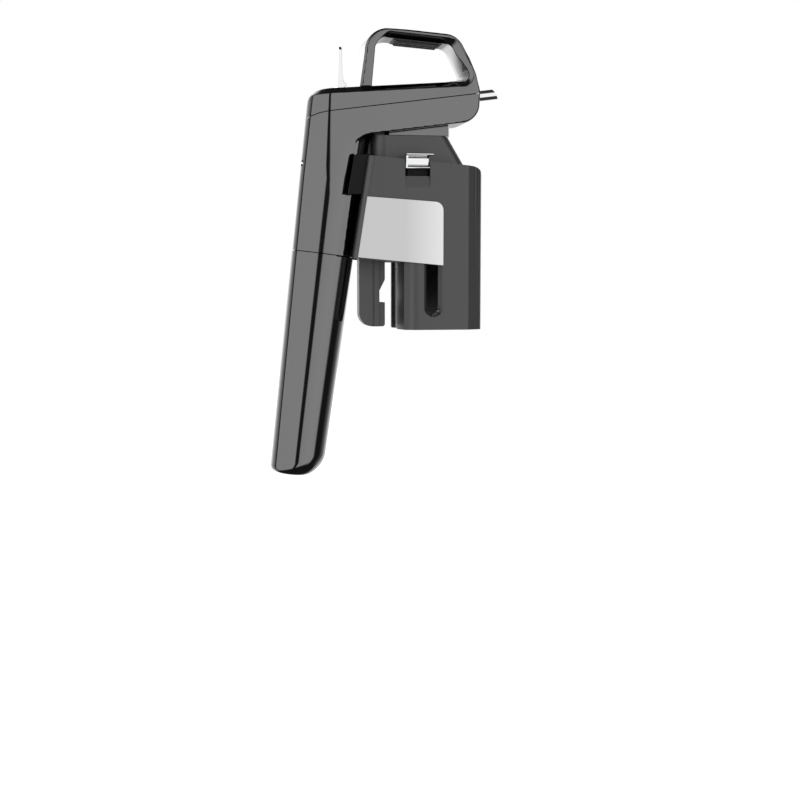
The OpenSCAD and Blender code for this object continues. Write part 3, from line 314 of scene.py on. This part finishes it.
def half_plane(x, z, at, toward):
    """Distance past the line through `at` whose outward side is `toward`, in X and Z."""
    size = math.hypot(*toward)
    return ((x - at[0]) * toward[0] + (z - at[1]) * toward[1]) / size


def arc(x, z, radius, start, end, steps):
    """Points of an arc, with its angles in degrees."""
    turns = np.radians(np.linspace(start, end, steps + 1))
    return [(x + radius * math.cos(a), z + radius * math.sin(a)) for a in turns]


def outline_distance(points, x, z):
    """Distance from a closed outline in X and Z, negative inside it."""
    near = np.inf
    inside = False
    for (ax, az), (bx, bz) in zip(points, points[1:] + points[:1]):
        ex, ez = bx - ax, bz - az
        t = np.clip(((x - ax) * ex + (z - az) * ez) / (ex * ex + ez * ez), 0, 1)
        near = np.minimum(near, np.hypot(x - ax - ex * t, z - az - ez * t))
        if az != bz:
            inside = inside ^ (((z >= az) != (z >= bz)) & (x < ax + ex * (z - az) / ez))
    return np.where(inside, -near, near)


def slope_of(field, points, step=FIELD_STEP):
    """The field's gradient at points."""
    sides = []
    for axis in range(3):
        ahead, behind = points.copy(), points.copy()
        ahead[:, axis] += step
        behind[:, axis] -= step
        sides.append((field(*ahead.T) - field(*behind.T)) / (2 * step))
    return np.stack(sides, 1)


SNAP_ROUNDS = 4
LEAST_SLOPE = 0.05


def net(field, low, high, cell):
    """Corners and quads of the surface where the field is zero: one corner in each cell that the
    surface crosses, then moved onto it."""
    axes = [np.arange(a, b + cell, cell) for a, b in zip(low, high)]
    values = field(axes[0][:, None, None], axes[1][None, :, None], axes[2][None, None, :])
    values = np.broadcast_to(values, [len(a) for a in axes])
    total = np.zeros(values.shape + (3,))
    count = np.zeros(values.shape)
    quads = []
    for axis in range(3):
        first, second = [slice(None)] * 3, [slice(None)] * 3
        first[axis], second[axis] = slice(0, -1), slice(1, None)
        a, b = values[tuple(first)], values[tuple(second)]
        at = np.argwhere((a < 0) != (b < 0))
        a, b = a[tuple(at.T)], b[tuple(at.T)]
        crossing = at.astype(float)
        crossing[:, axis] += a / (a - b)
        u, v = (axis + 1) % 3, (axis + 2) % 3
        ring = []
        for du, dv in ((0, 0), (-1, 0), (-1, -1), (0, -1)):
            cells = at.copy()
            cells[:, u] += du
            cells[:, v] += dv
            np.add.at(total, tuple(cells.T), crossing)
            np.add.at(count, tuple(cells.T), 1)
            ring.append(np.ravel_multi_index(tuple(cells.T), values.shape))
        quad = np.stack(ring, 1)
        quad[a >= 0] = quad[a >= 0][:, ::-1]
        quads.append(quad)
    used, quads = np.unique(np.concatenate(quads), return_inverse=True)
    points = total.reshape(-1, 3)[used] / count.reshape(-1)[used][:, None] * cell + np.array(low)
    for _ in range(SNAP_ROUNDS):
        value, slope = field(*points.T), slope_of(field, points)
        size = np.maximum((slope * slope).sum(1), LEAST_SLOPE)
        points -= slope * np.clip(value / size, -cell / 2, cell / 2)[:, None]
    return points, quads.reshape(-1, 4)


# ---- Pieces and tools, in millimetres until they are placed --------------------------------------

ROUND_SIDES = 96


def new_piece(name, points, faces):
    mesh = bpy.data.meshes.new(name)
    mesh.from_pydata([tuple(p) for p in points], [], [tuple(f) for f in faces])
    piece = bpy.data.objects.new(name, mesh)
    bpy.context.collection.objects.link(piece)
    return piece


def moulded(name, field, low, high, cell):
    return new_piece(name, *net(field, low, high, cell))


def prism(outline, half_width, middle=0.0):
    """Tool for cuts: an outline in X and Z, drawn out to both sides of middle along Y."""
    n = len(outline)
    points = [(x, middle + side * half_width, z) for side in (-1, 1) for x, z in outline]
    faces = [range(n), range(2 * n - 1, n - 1, -1)]
    faces += [((i + 1) % n, i, n + i, n + (i + 1) % n) for i in range(n)]
    tool = new_piece("tool", points, faces)
    work = bmesh.new()
    work.from_mesh(tool.data)
    bmesh.ops.recalc_face_normals(work, faces=work.faces)
    work.to_mesh(tool.data)
    work.free()
    return tool


def block(low, high, matrix=Matrix.Identity(4)):
    """Tool for cuts: a box between two corners, in the matrix's frame."""
    outline = [(low[0], low[2]), (high[0], low[2]), (high[0], high[2]), (low[0], high[2])]
    tool = prism(outline, (high[1] - low[1]) / 2, (high[1] + low[1]) / 2)
    tool.data.transform(matrix)
    return tool


def cone(low_radius, high_radius, length, middle):
    """Tool for cuts: a closed cone along Z of the matrix `middle`, centred on it."""
    tool = new_piece("tool", [], [])
    work = bmesh.new()
    bmesh.ops.create_cone(work, cap_ends=True, segments=ROUND_SIDES, radius1=low_radius,
                          radius2=high_radius, depth=length, matrix=middle)
    work.to_mesh(tool.data)
    work.free()
    return tool


def rod(radius, low, high, matrix):
    """Tool for cuts: a cylinder along the matrix's own Z, from low to high."""
    middle = matrix @ Matrix.Translation((0, 0, (low + high) / 2))
    return cone(radius, radius, high - low, middle)


def settle(piece):
    """Applies what the piece's modifiers do."""
    graph = bpy.context.evaluated_depsgraph_get()
    shaped = bpy.data.meshes.new_from_object(piece.evaluated_get(graph))
    old = piece.data
    piece.modifiers.clear()
    piece.data = shaped
    bpy.data.meshes.remove(old)


def cut(piece, *tools, operation="DIFFERENCE"):
    """Cuts the tools out of the piece, or does another operation, and throws the tools away."""
    for tool in tools:
        change = piece.modifiers.new("cut", "BOOLEAN")
        change.operation = operation
        change.solver = "MANIFOLD"
        change.object = tool
        settle(piece)
        bpy.data.objects.remove(tool)


SHADING_STEP = 0.05
# How far from a field's zero a point may be, and how far a face may turn from its slope, to be
# shaded as the field's own skin
SKIN_DEPTH = 0.03
SHARP = math.radians(35)


def shade_by(piece, field):
    """Smooth shading from the field's own slope, and flat shading on faces that a tool has cut."""
    mesh = piece.data
    mesh.polygons.foreach_set("use_smooth", [True] * len(mesh.polygons))
    points = np.zeros(len(mesh.vertices) * 3)
    mesh.vertices.foreach_get("co", points)
    points = points.reshape(-1, 3)
    slope = slope_of(field, points, SHADING_STEP)
    slope /= np.linalg.norm(slope, axis=1)[:, None] + TINY
    on_skin = np.abs(field(*points.T)) < SKIN_DEPTH
    corner = np.zeros(len(mesh.loops), int)
    mesh.loops.foreach_get("vertex_index", corner)
    flat = np.zeros(len(mesh.polygons) * 3)
    mesh.polygons.foreach_get("normal", flat)
    sizes = np.zeros(len(mesh.polygons), int)
    mesh.polygons.foreach_get("loop_total", sizes)
    flat = np.repeat(flat.reshape(-1, 3), sizes, axis=0)
    curved = slope[corner]
    keep = on_skin[corner] & ((curved * flat).sum(1) > math.cos(SHARP))
    mesh.normals_split_custom_set(np.where(keep[:, None], curved, flat).tolist())


def place(piece, node):
    """Turns a finished piece to metres and gives it the CAD node's finish, body and place."""
    piece.data.transform(Matrix.Scale(MM, 4))
    piece.data.update()
    paint(piece, slot_of[node])
    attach(piece, body_of[node])
    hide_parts(node)


# ---- Handle and head -----------------------------------------------------------------------------

# The handle: an oval bar that leans, whose own Z is 0 at the split line
HANDLE_ROOT = (-59.5, 0, -37.8)
LEAN = math.radians(7.3)
HALF_DEPTH = 15.25
HALF_WIDTH = 14.0
DEPTH_GROWTH = 0.0205
FLARE_START = 35
FLARE_GROWTH = 0.044
SPLIT_GAP = 0.42
CUP_LENGTH = 109.6
# Rounding of the cup's foot behind, and what it gains towards the front
CUP_FOOT_ROUND = (3, 9)
in_handle = Matrix.Translation(HANDLE_ROOT) @ Matrix.Rotation(LEAN, 4, "Y")

# Strips along the front of the handle's sides: their start and half width, each with its change
# for each millimetre up the handle
STRIP_START, STRIP_START_GROWTH = 9.2, 0.012
STRIP_HALF, STRIP_HALF_GROWTH = 13.2, -0.01
STRIP_ROUND = 0.9
STRIP_BLEND = 0.15

# The head, whose underside, seam and spout rise alike towards the front
HEAD_RISE = math.radians(7.6)
HEAD_SLOPE = math.tan(HEAD_RISE)
UNDERSIDE_AT = (-40, 19.2)
BEAM_REAR = -50
NOSE_X, NOSE_Z = 17.6, 42.5
NOSE_POINT = (16.9, 40.3)
NOSE_TOWARD, BROW_TOWARD = (1, -0.06), (6.4, 1.6)
NOSE_ROUND, BROW_BLEND = 7.2, 0.3
TOP_REAR = (-61.4, 40.8)
TOP_FRONT = (NOSE_X - 8, NOSE_Z + 3.4)
TOP_SLOPE = (TOP_FRONT[1] - TOP_REAR[1]) / (TOP_FRONT[0] - TOP_REAR[0])
CHAMFER_IN, CHAMFER_DOWN = 3.0, 2.7
HANDLE_FILLET = 5
REAR_ROUND = 6
EDGE_ROUND = 0.4
HEAD_WALL = 2.2

# The seam between body and cover, from its bend near the rear to the back
SEAM_REAR = [(-57.4, 30), (-61.8, 29.2), (-65.6, 28.0), (-69.2, 26)]
SEAM_GAP = 0.44
# The lip behind the seam: its front end, and its half width in front and at the rear points
TONGUE_FRONT = 15.2
TONGUE_HALF = 11.9
TONGUE_HALF_REAR = (11.3, 8.3, 4.4)
TONGUE_FOOT = -0.8
TONGUE_LEAN = 1
TONGUE_PLAY = 0.02

# Bores: the radius, and the two ends along the axis
REGULATOR_BORE = (12, -5, 44)
RISER_BORE = (7.5, 40, 66)
SPOUT_BORE = (2.35, -20, 10)
RING_BORE = (12, -13, 5)
CAPSULE_BORE = (10.2, -102.2, -10)
# Boxes, by two corners
TRIGGER_SLOT = ((-54, -8.2, 34), (-46, 8.2, 54))
HEAD_BOX = ((-79, -15.6, -49), (21, 15.6, 73))
CUP_BOX = ((-94, -15.5, -151), (-38, 15.5, -24))
HEAD_CELL, CUP_CELL = 0.7, 0.8

in_spout = Matrix.Translation((NOSE_X + 0.3, 0, NOSE_Z - 2.5)) \
    @ Matrix.Rotation(math.pi / 2 - HEAD_RISE, 4, "Y")


def underside_z(x):
    return UNDERSIDE_AT[1] + (x - UNDERSIDE_AT[0]) * HEAD_SLOPE


def seam_z(x):
    return SEAM_REAR[0][1] + (x - SEAM_REAR[0][0]) * HEAD_SLOPE


def top_z(x):
    return TOP_REAR[1] + (x - TOP_REAR[0]) * TOP_SLOPE


def handle_frame(x, z):
    """Place across the handle, front to back, and height along it."""
    dx, dz = x - HANDLE_ROOT[0], z - HANDLE_ROOT[2]
    return dx * math.cos(LEAN) - dz * math.sin(LEAN), dx * math.sin(LEAN) + dz * math.cos(LEAN)


def column_size(height):
    """Half depth and half width of the oval. High up it outgrows the head's flat sides."""
    return (HALF_DEPTH + DEPTH_GROWTH * height,
            HALF_WIDTH + FLARE_GROWTH * np.maximum(height - FLARE_START, 0))


def column(x, y, z):
    """The tapered oval bar of the handle, without ends."""
    across, height = handle_frame(x, z)
    depth, width = column_size(height)
    reach = np.sqrt((across / depth) ** 2 + (y / width) ** 2 + TINY)
    pull = np.sqrt((across / depth**2) ** 2 + (y / width**2) ** 2 + TINY)
    return reach * (reach - 1) / pull


def strips(across, y, height):
    """Flat strip that stands out a little along each front side of the upper handle."""
    start = across - STRIP_START - STRIP_START_GROWTH * height
    side = np.abs(y) - STRIP_HALF - STRIP_HALF_GROWTH * height
    return np.maximum(round_max(start, side, STRIP_ROUND), -across)


def head(x, y, z):
    """Handle and head as one form: the oval column runs into the flat-sided beam."""
    underside = half_plane(x, z, (0, underside_z(0)), (HEAD_SLOPE, -1))
    nose = half_plane(x, z, NOSE_POINT, NOSE_TOWARD)
    beam = round_max(underside, nose, NOSE_ROUND)
    beam = soft_max(beam, half_plane(x, z, NOSE_POINT, BROW_TOWARD), BROW_BLEND)
    beam = np.maximum(beam, BEAM_REAR - x)
    across, height = handle_frame(x, z)
    spare = 5
    bar = soft_min(column(x, y, z), strips(across, y, height), STRIP_BLEND)
    whole = soft_min(np.maximum(bar, -height - spare), beam, HANDLE_FILLET)
    # The sides: blended on the handle, and rounded on the beam, more so towards the nose
    side = np.abs(y) - HALF_WIDTH
    handle_sides = soft_max(whole, side, 0.02 + 0.7 * smooth(height, 25, 45))
    beam_sides = round_max(whole, side * (1 - 0.3 * smooth(x, 4, 14)), 0.7 + 0.8 * smooth(x, 2, 14))
    on_beam = smooth(x, -44, -38)
    whole = (1 - on_beam) * handle_sides + on_beam * beam_sides
    roof = half_plane(x, z, TOP_REAR, (-TOP_SLOPE, 1))
    chamfer = (whole * CHAMFER_DOWN + roof * CHAMFER_IN + CHAMFER_IN * CHAMFER_DOWN) \
        / math.hypot(CHAMFER_IN, CHAMFER_DOWN)
    back = -across - HALF_DEPTH - DEPTH_GROWTH * height
    cover = round_max(roof, back, REAR_ROUND)
    return round_max(round_max(whole, chamfer, EDGE_ROUND), cover, EDGE_ROUND)


LOOP_TOP = 70.2
LOOP_HALF = 11
LOOP_OUTER = [
    (-42, 40), (-42, 43), (-39.6, 59.6),
    *arc(-28.4, LOOP_TOP - 11.4, 11.4, 172, 93, 14),
    (-19.7, LOOP_TOP - 0.3),
    *arc(-0.5, LOOP_TOP - 12.2, 10.4, 86, 28, 12),
    (11.7, 57.1), (14.6, 49.1), (16.2, 42.7), (16.6, 41), (5.6, 40),
]
LOOP_INNER = [
    (-36.4, 41.5), (-34.7, 59.4),
    *arc(-28.3, LOOP_TOP - 10.5, 6.4, 172, 90, 12),
    *arc(-0.3, LOOP_TOP - 11.4, 5.0, 82, 26, 10),
    (9.2, 50.7),
    *arc(6.9, 48.9, 2.7, 8, -75, 8),
]
LOOP_ROUND, CROWN_ROUND, BEVEL_ROUND = 1.2, 0.5, 0.3
LOOP_BLEND = 0.5


def loop(x, y, z):
    """The grip over the head: flush with the head's sides at the front leg, narrower elsewhere. A
    wide bevel leads into the opening, and the front leg's inner wall is crowned."""
    half = LOOP_HALF + (HALF_WIDTH - LOOP_HALF) * smooth(x, 0, 9) * (1 - smooth(z, 48, 62))
    aside = np.abs(y)
    side = aside - half
    opening = outline_distance(LOOP_INNER, x, z)
    bar = round_max(outline_distance(LOOP_OUTER, x, z), side, LOOP_ROUND)
    # The opening's wall stands out in the middle of the front leg and falls off to its sides
    crown = 0.018 * np.minimum(y * y, 90) + 0.34 * np.maximum(aside - 9.5, 0) - 1.0
    bar = round_max(bar, crown * smooth(x, 3, 8) - opening, CROWN_ROUND)
    # The bevel widens from the rear leg to the front one, and is flatter there
    width = 0.4 + 2.4 * smooth(x, -33, -27) + 0.8 * smooth(x, -1, 6)
    steepness = 1.15 - 0.5 * smooth(x, -3, 4)
    bevel = (side / steepness - opening + width) / np.hypot(1, 1 / steepness)
    return round_max(bar, bevel, BEVEL_ROUND)


def head_with_loop(x, y, z):
    return soft_min(head(x, y, z), loop(x, y, z), LOOP_BLEND)


def below_seam(rise):
    """Tool: everything below the seam, moved up by rise."""
    rear, front, bottom, half_width = -95, 45, -70, 40
    seam = [(x, z + rise) for x, z in [(front, seam_z(front)), *SEAM_REAR, (rear, 12)]]
    return prism([(rear, bottom), (front, bottom), *seam], half_width)


def room_tool():
    """Tool: the hollow inside the head, a wall in from its underside, nose, top and sides."""
    floor_rear, floor_front = underside_z(-40) + HEAD_WALL, underside_z(0)
    outline = [
        (-60, floor_rear), (-40, floor_rear), (0, floor_front + HEAD_WALL),
        (NOSE_X - 5, floor_front + 6.5), (NOSE_X - 4.5, top_z(NOSE_X - 5) - HEAD_WALL - 1.6),
        (-56.5, top_z(-56.5) - HEAD_WALL - 1.2), (-60, 33),
    ]
    return prism(outline, HALF_WIDTH - HEAD_WALL - 1.2)


def seam_tongue():
    """Tool: the body's lip behind the seam. Its sides lean in, so that the seam looks dark."""
    foot, top = TONGUE_FOOT, SEAM_GAP / 2 - TONGUE_PLAY
    rows = [(x, z, half) for (x, z), half in zip(SEAM_REAR, TONGUE_HALF_REAR)][::-1]
    rows += [(x, seam_z(x), TONGUE_HALF) for x in (-50, TONGUE_FRONT)]
    points = []
    for x, z, half in rows:
        wide, narrow = half + TONGUE_LEAN, half - TONGUE_LEAN
        points += [(x, -wide, z + foot), (x, wide, z + foot),
                   (x, narrow, z + top), (x, -narrow, z + top)]
    faces = [(3, 2, 1, 0), tuple(range(len(points) - 4, len(points)))]
    for k in range(0, len(points) - 4, 4):
        faces += [(k + i, k + (i + 1) % 4, k + 4 + (i + 1) % 4, k + 4 + i) for i in range(4)]
    return new_piece("tool", points, faces)


def handle_slab(low, high):
    """Tool: a stretch of the handle, with room all round."""
    return block((-40, -30, low), (40, 30, high), in_handle)


def make_head():
    """Body shell and top cover, cut from one form so that they meet in a fine line."""
    cover = moulded("top_cover_form", head_with_loop, *HEAD_BOX, HEAD_CELL)
    body = cover.copy()
    body.data = cover.data.copy()
    bpy.context.collection.objects.link(body)
    body.name = "body_shell_form"
    cut(body, below_seam(-SEAM_GAP / 2), operation="INTERSECT")
    cut(body, seam_tongue(), operation="UNION")
    cut(body, handle_slab(-60, 0), room_tool(), rod(*REGULATOR_BORE, in_handle),
        rod(*RISER_BORE, in_handle), rod(*SPOUT_BORE, in_spout))
    shade_by(body, head_with_loop)
    place(body, "body_shell")
    cut(cover, below_seam(SEAM_GAP / 2), room_tool(), block(*TRIGGER_SLOT),
        rod(*SPOUT_BORE, in_spout))
    shade_by(cover, head_with_loop)
    place(cover, "top_cover")


def cup(x, y, z):
    """Lower handle with a foot that is rounder in front than behind."""
    across, height = handle_frame(x, z)
    foot = -height - CUP_LENGTH
    foot_round = CUP_FOOT_ROUND[0] + CUP_FOOT_ROUND[1] * smooth(across, -11, 12)
    spare = 4
    return np.maximum(round_max(column(x, y, z), foot, foot_round), height - spare)


def cup_lip():
    """Tool: the cup's lip behind the split line. Its side leans in, so that the line looks dark."""
    foot_share, top_share = 0.97, 0.9
    length, middle = 0.5, -0.28
    oval = in_handle @ Matrix.Translation((0, 0, middle)) \
        @ Matrix.Diagonal((HALF_DEPTH, HALF_WIDTH, 1, 1))
    return cone(foot_share, top_share, length, oval)


def make_cup():
    """The lower handle, hollow for its ring and the gas capsule."""
    piece = moulded("capsule_cup_form", cup, *CUP_BOX, CUP_CELL)
    cut(piece, handle_slab(-SPLIT_GAP, 40))
    cut(piece, cup_lip(), operation="UNION")
    cut(piece, rod(*RING_BORE, in_handle), rod(*CAPSULE_BORE, in_handle))
    shade_by(piece, cup)
    place(piece, "capsule_cup")


make_head()
make_cup()

# ---- Moulded and pressed parts with rounded edges ------------------------------------------------

WELD = 0.002
SLICE_REACH = 0.001
FLATTEN = math.radians(0.6)
ROUND_STEPS = 3
ROLL_STEPS = 8


def round_edges(work, edges, radius, steps):
    bmesh.ops.bevel(work, geom=edges, offset=radius, offset_type="OFFSET", segments=steps,
                    profile=0.5, affect="EDGES", clamp_overlap=True)


def dressed(node, radius, reshape=None, rolled=None, slices=(), crease=30, flat=(60, 1.9)):
    """A copy of a CAD node whose edges sharper than crease are rounded to radius, in millimetres.
    slices are places along X that get a ring of points; reshape then moves points; rolled is (test,
    radius) for edges that get a larger round. A face is shaded flat when its area is at least
    flat[0], and flat[1] times its rim's length."""
    piece = new_piece(node + "_form", [], [])
    work = bmesh.new()
    work.from_mesh(frame["nodes"][node].data)
    bmesh.ops.scale(work, vec=(1 / MM, 1 / MM, 1 / MM), verts=work.verts)
    bmesh.ops.remove_doubles(work, verts=work.verts, dist=WELD)
    for at in slices:
        bmesh.ops.bisect_plane(work, geom=[*work.verts, *work.edges, *work.faces],
                               dist=SLICE_REACH, plane_co=(at, 0, 0), plane_no=(1, 0, 0))
    if reshape:
        for vert in work.verts:
            vert.co = reshape(*vert.co)
    bmesh.ops.dissolve_limit(work, angle_limit=FLATTEN, verts=work.verts, edges=work.edges)
    if rolled:
        test, roll = rolled
        chosen = [e for e in work.edges if all(test(*v.co) for v in e.verts)]
        round_edges(work, chosen, roll, ROLL_STEPS)
    least = math.radians(crease)
    sharp = [e for e in work.edges if e.is_manifold and e.calc_face_angle(0) > least]
    round_edges(work, sharp, radius, ROUND_STEPS)
    for face in work.faces:
        area = face.calc_area()
        face.smooth = area < flat[0] or area < flat[1] * face.calc_perimeter()
    work.to_mesh(piece.data)
    work.free()
    piece.modifiers.new("even", "WEIGHTED_NORMAL").keep_sharp = True
    settle(piece)
    place(piece, node)
    return piece


CLAMP_HALF = 21.5
CLAMP_FRONT = 17.2
# A facet that leads round each front corner of the clamp: (X, half width)
FACET = [(9.3, CLAMP_HALF), (16.0, 17.3), (CLAMP_FRONT, 14.0)]
# Rear of the release tab, and what it and its recess are widened by there
TAB_REAR = -20
TAB_WIDENING = 1.7
LIP_LENGTHENING = 1.4
PLATE_REAR_STEP = 1.9
SPOUT_OUT, SPOUT_RADIUS, SPOUT_SLANT = 10.4, 2.55, 2.3
# Inner face of a jaw lever's arm, and what it is moved out by
LEVER_IN = 14.6
LEVER_ROOM = 0.9


def clamp_skin(x, y, z):
    """Moves the clamp's skin in to its front facets, and the rear wall of the tab's recess back."""
    on_recess = TAB_REAR - 0.7 < x < TAB_REAR - 0.2 and abs(y) > 11
    x = min(x, CLAMP_FRONT) - TAB_WIDENING * on_recess
    limit = float(np.interp(x, *zip(*FACET)))
    return x, max(-limit, min(limit, y)), z


def cheek_x(z):
    """Rear edge of the clamp's cheeks, which leans as the handle does."""
    return -47.1 + 0.158 * (z + 40)


def on_cheek_edge(x, y, z):
    """Whether a point is on a cheek's rear outer edge."""
    return abs(abs(y) - CLAMP_HALF) < 0.05 and abs(x - cheek_x(z)) < 0.1 and z > -41


def tab_ends(x, y, z):
    """Moves a tab's rear end back and draws its lip out over the front of the recess."""
    on_rear = x < TAB_REAR + 1
    on_lip = x > TAB_REAR + 9.5 and z > 8.6 and abs(y) > 21
    return x - TAB_WIDENING * on_rear + LIP_LENGTHENING * on_lip, y, z


def spout_end(x, y, z):
    """Cuts the spout's end on the slant, its lower lip the longer."""
    local = in_spout.inverted() @ Vector((x, y, z))
    if local.z > SPOUT_OUT - 1:
        local.z -= SPOUT_SLANT * (1 - local.x / SPOUT_RADIUS) / 2
    return in_spout @ local


def lever_room(x, y, z):
    """Moves the inner face of a lever's arm out, so that it clears the tower when squeezed."""
    on_inside = abs(abs(y) - LEVER_IN) < 0.05 and z > -8
    return x, y + math.copysign(LEVER_ROOM, y) * on_inside, z


def plate_rear(x, y, z):
    """Moves a side plate's rear edge forward, clear of the cheek's round."""
    return x + PLATE_REAR_STEP * (x < cheek_x(z) + 1), y, z


dressed("clamp_shell", 0.4, reshape=clamp_skin, rolled=(on_cheek_edge, 3.2), crease=20,
        slices=[x for x, _ in FACET], flat=(15, 0))
for node in ("side_plate_right", "side_plate_left"):
    dressed(node, 0.2, reshape=plate_rear)
for node in ("release_tab_right", "release_tab_left"):
    dressed(node, 0.35, reshape=tab_ends)
for node in ("jaw_lever_right", "jaw_lever_left"):
    dressed(node, 0.2, reshape=lever_room)
dressed("spout_tube", 0.08, reshape=spout_end)
# The inlay keeps the black plastic's slot, and a lighter rubber lets its ribs show
dressed("grip_inlay", 0.3).data.materials[0] = FINISHES["grip_rubber"]

EDGE_RADII = {
    "guide_tower": 0.5, "guide_rail": 0.4, "wedge_seat": 0.4, "clamp_back_plate": 0.25,
    "slide_shoe_right": 0.4, "slide_shoe_left": 0.4, "trigger": 0.3,
}
for node, radius in EDGE_RADII.items():
    dressed(node, radius)
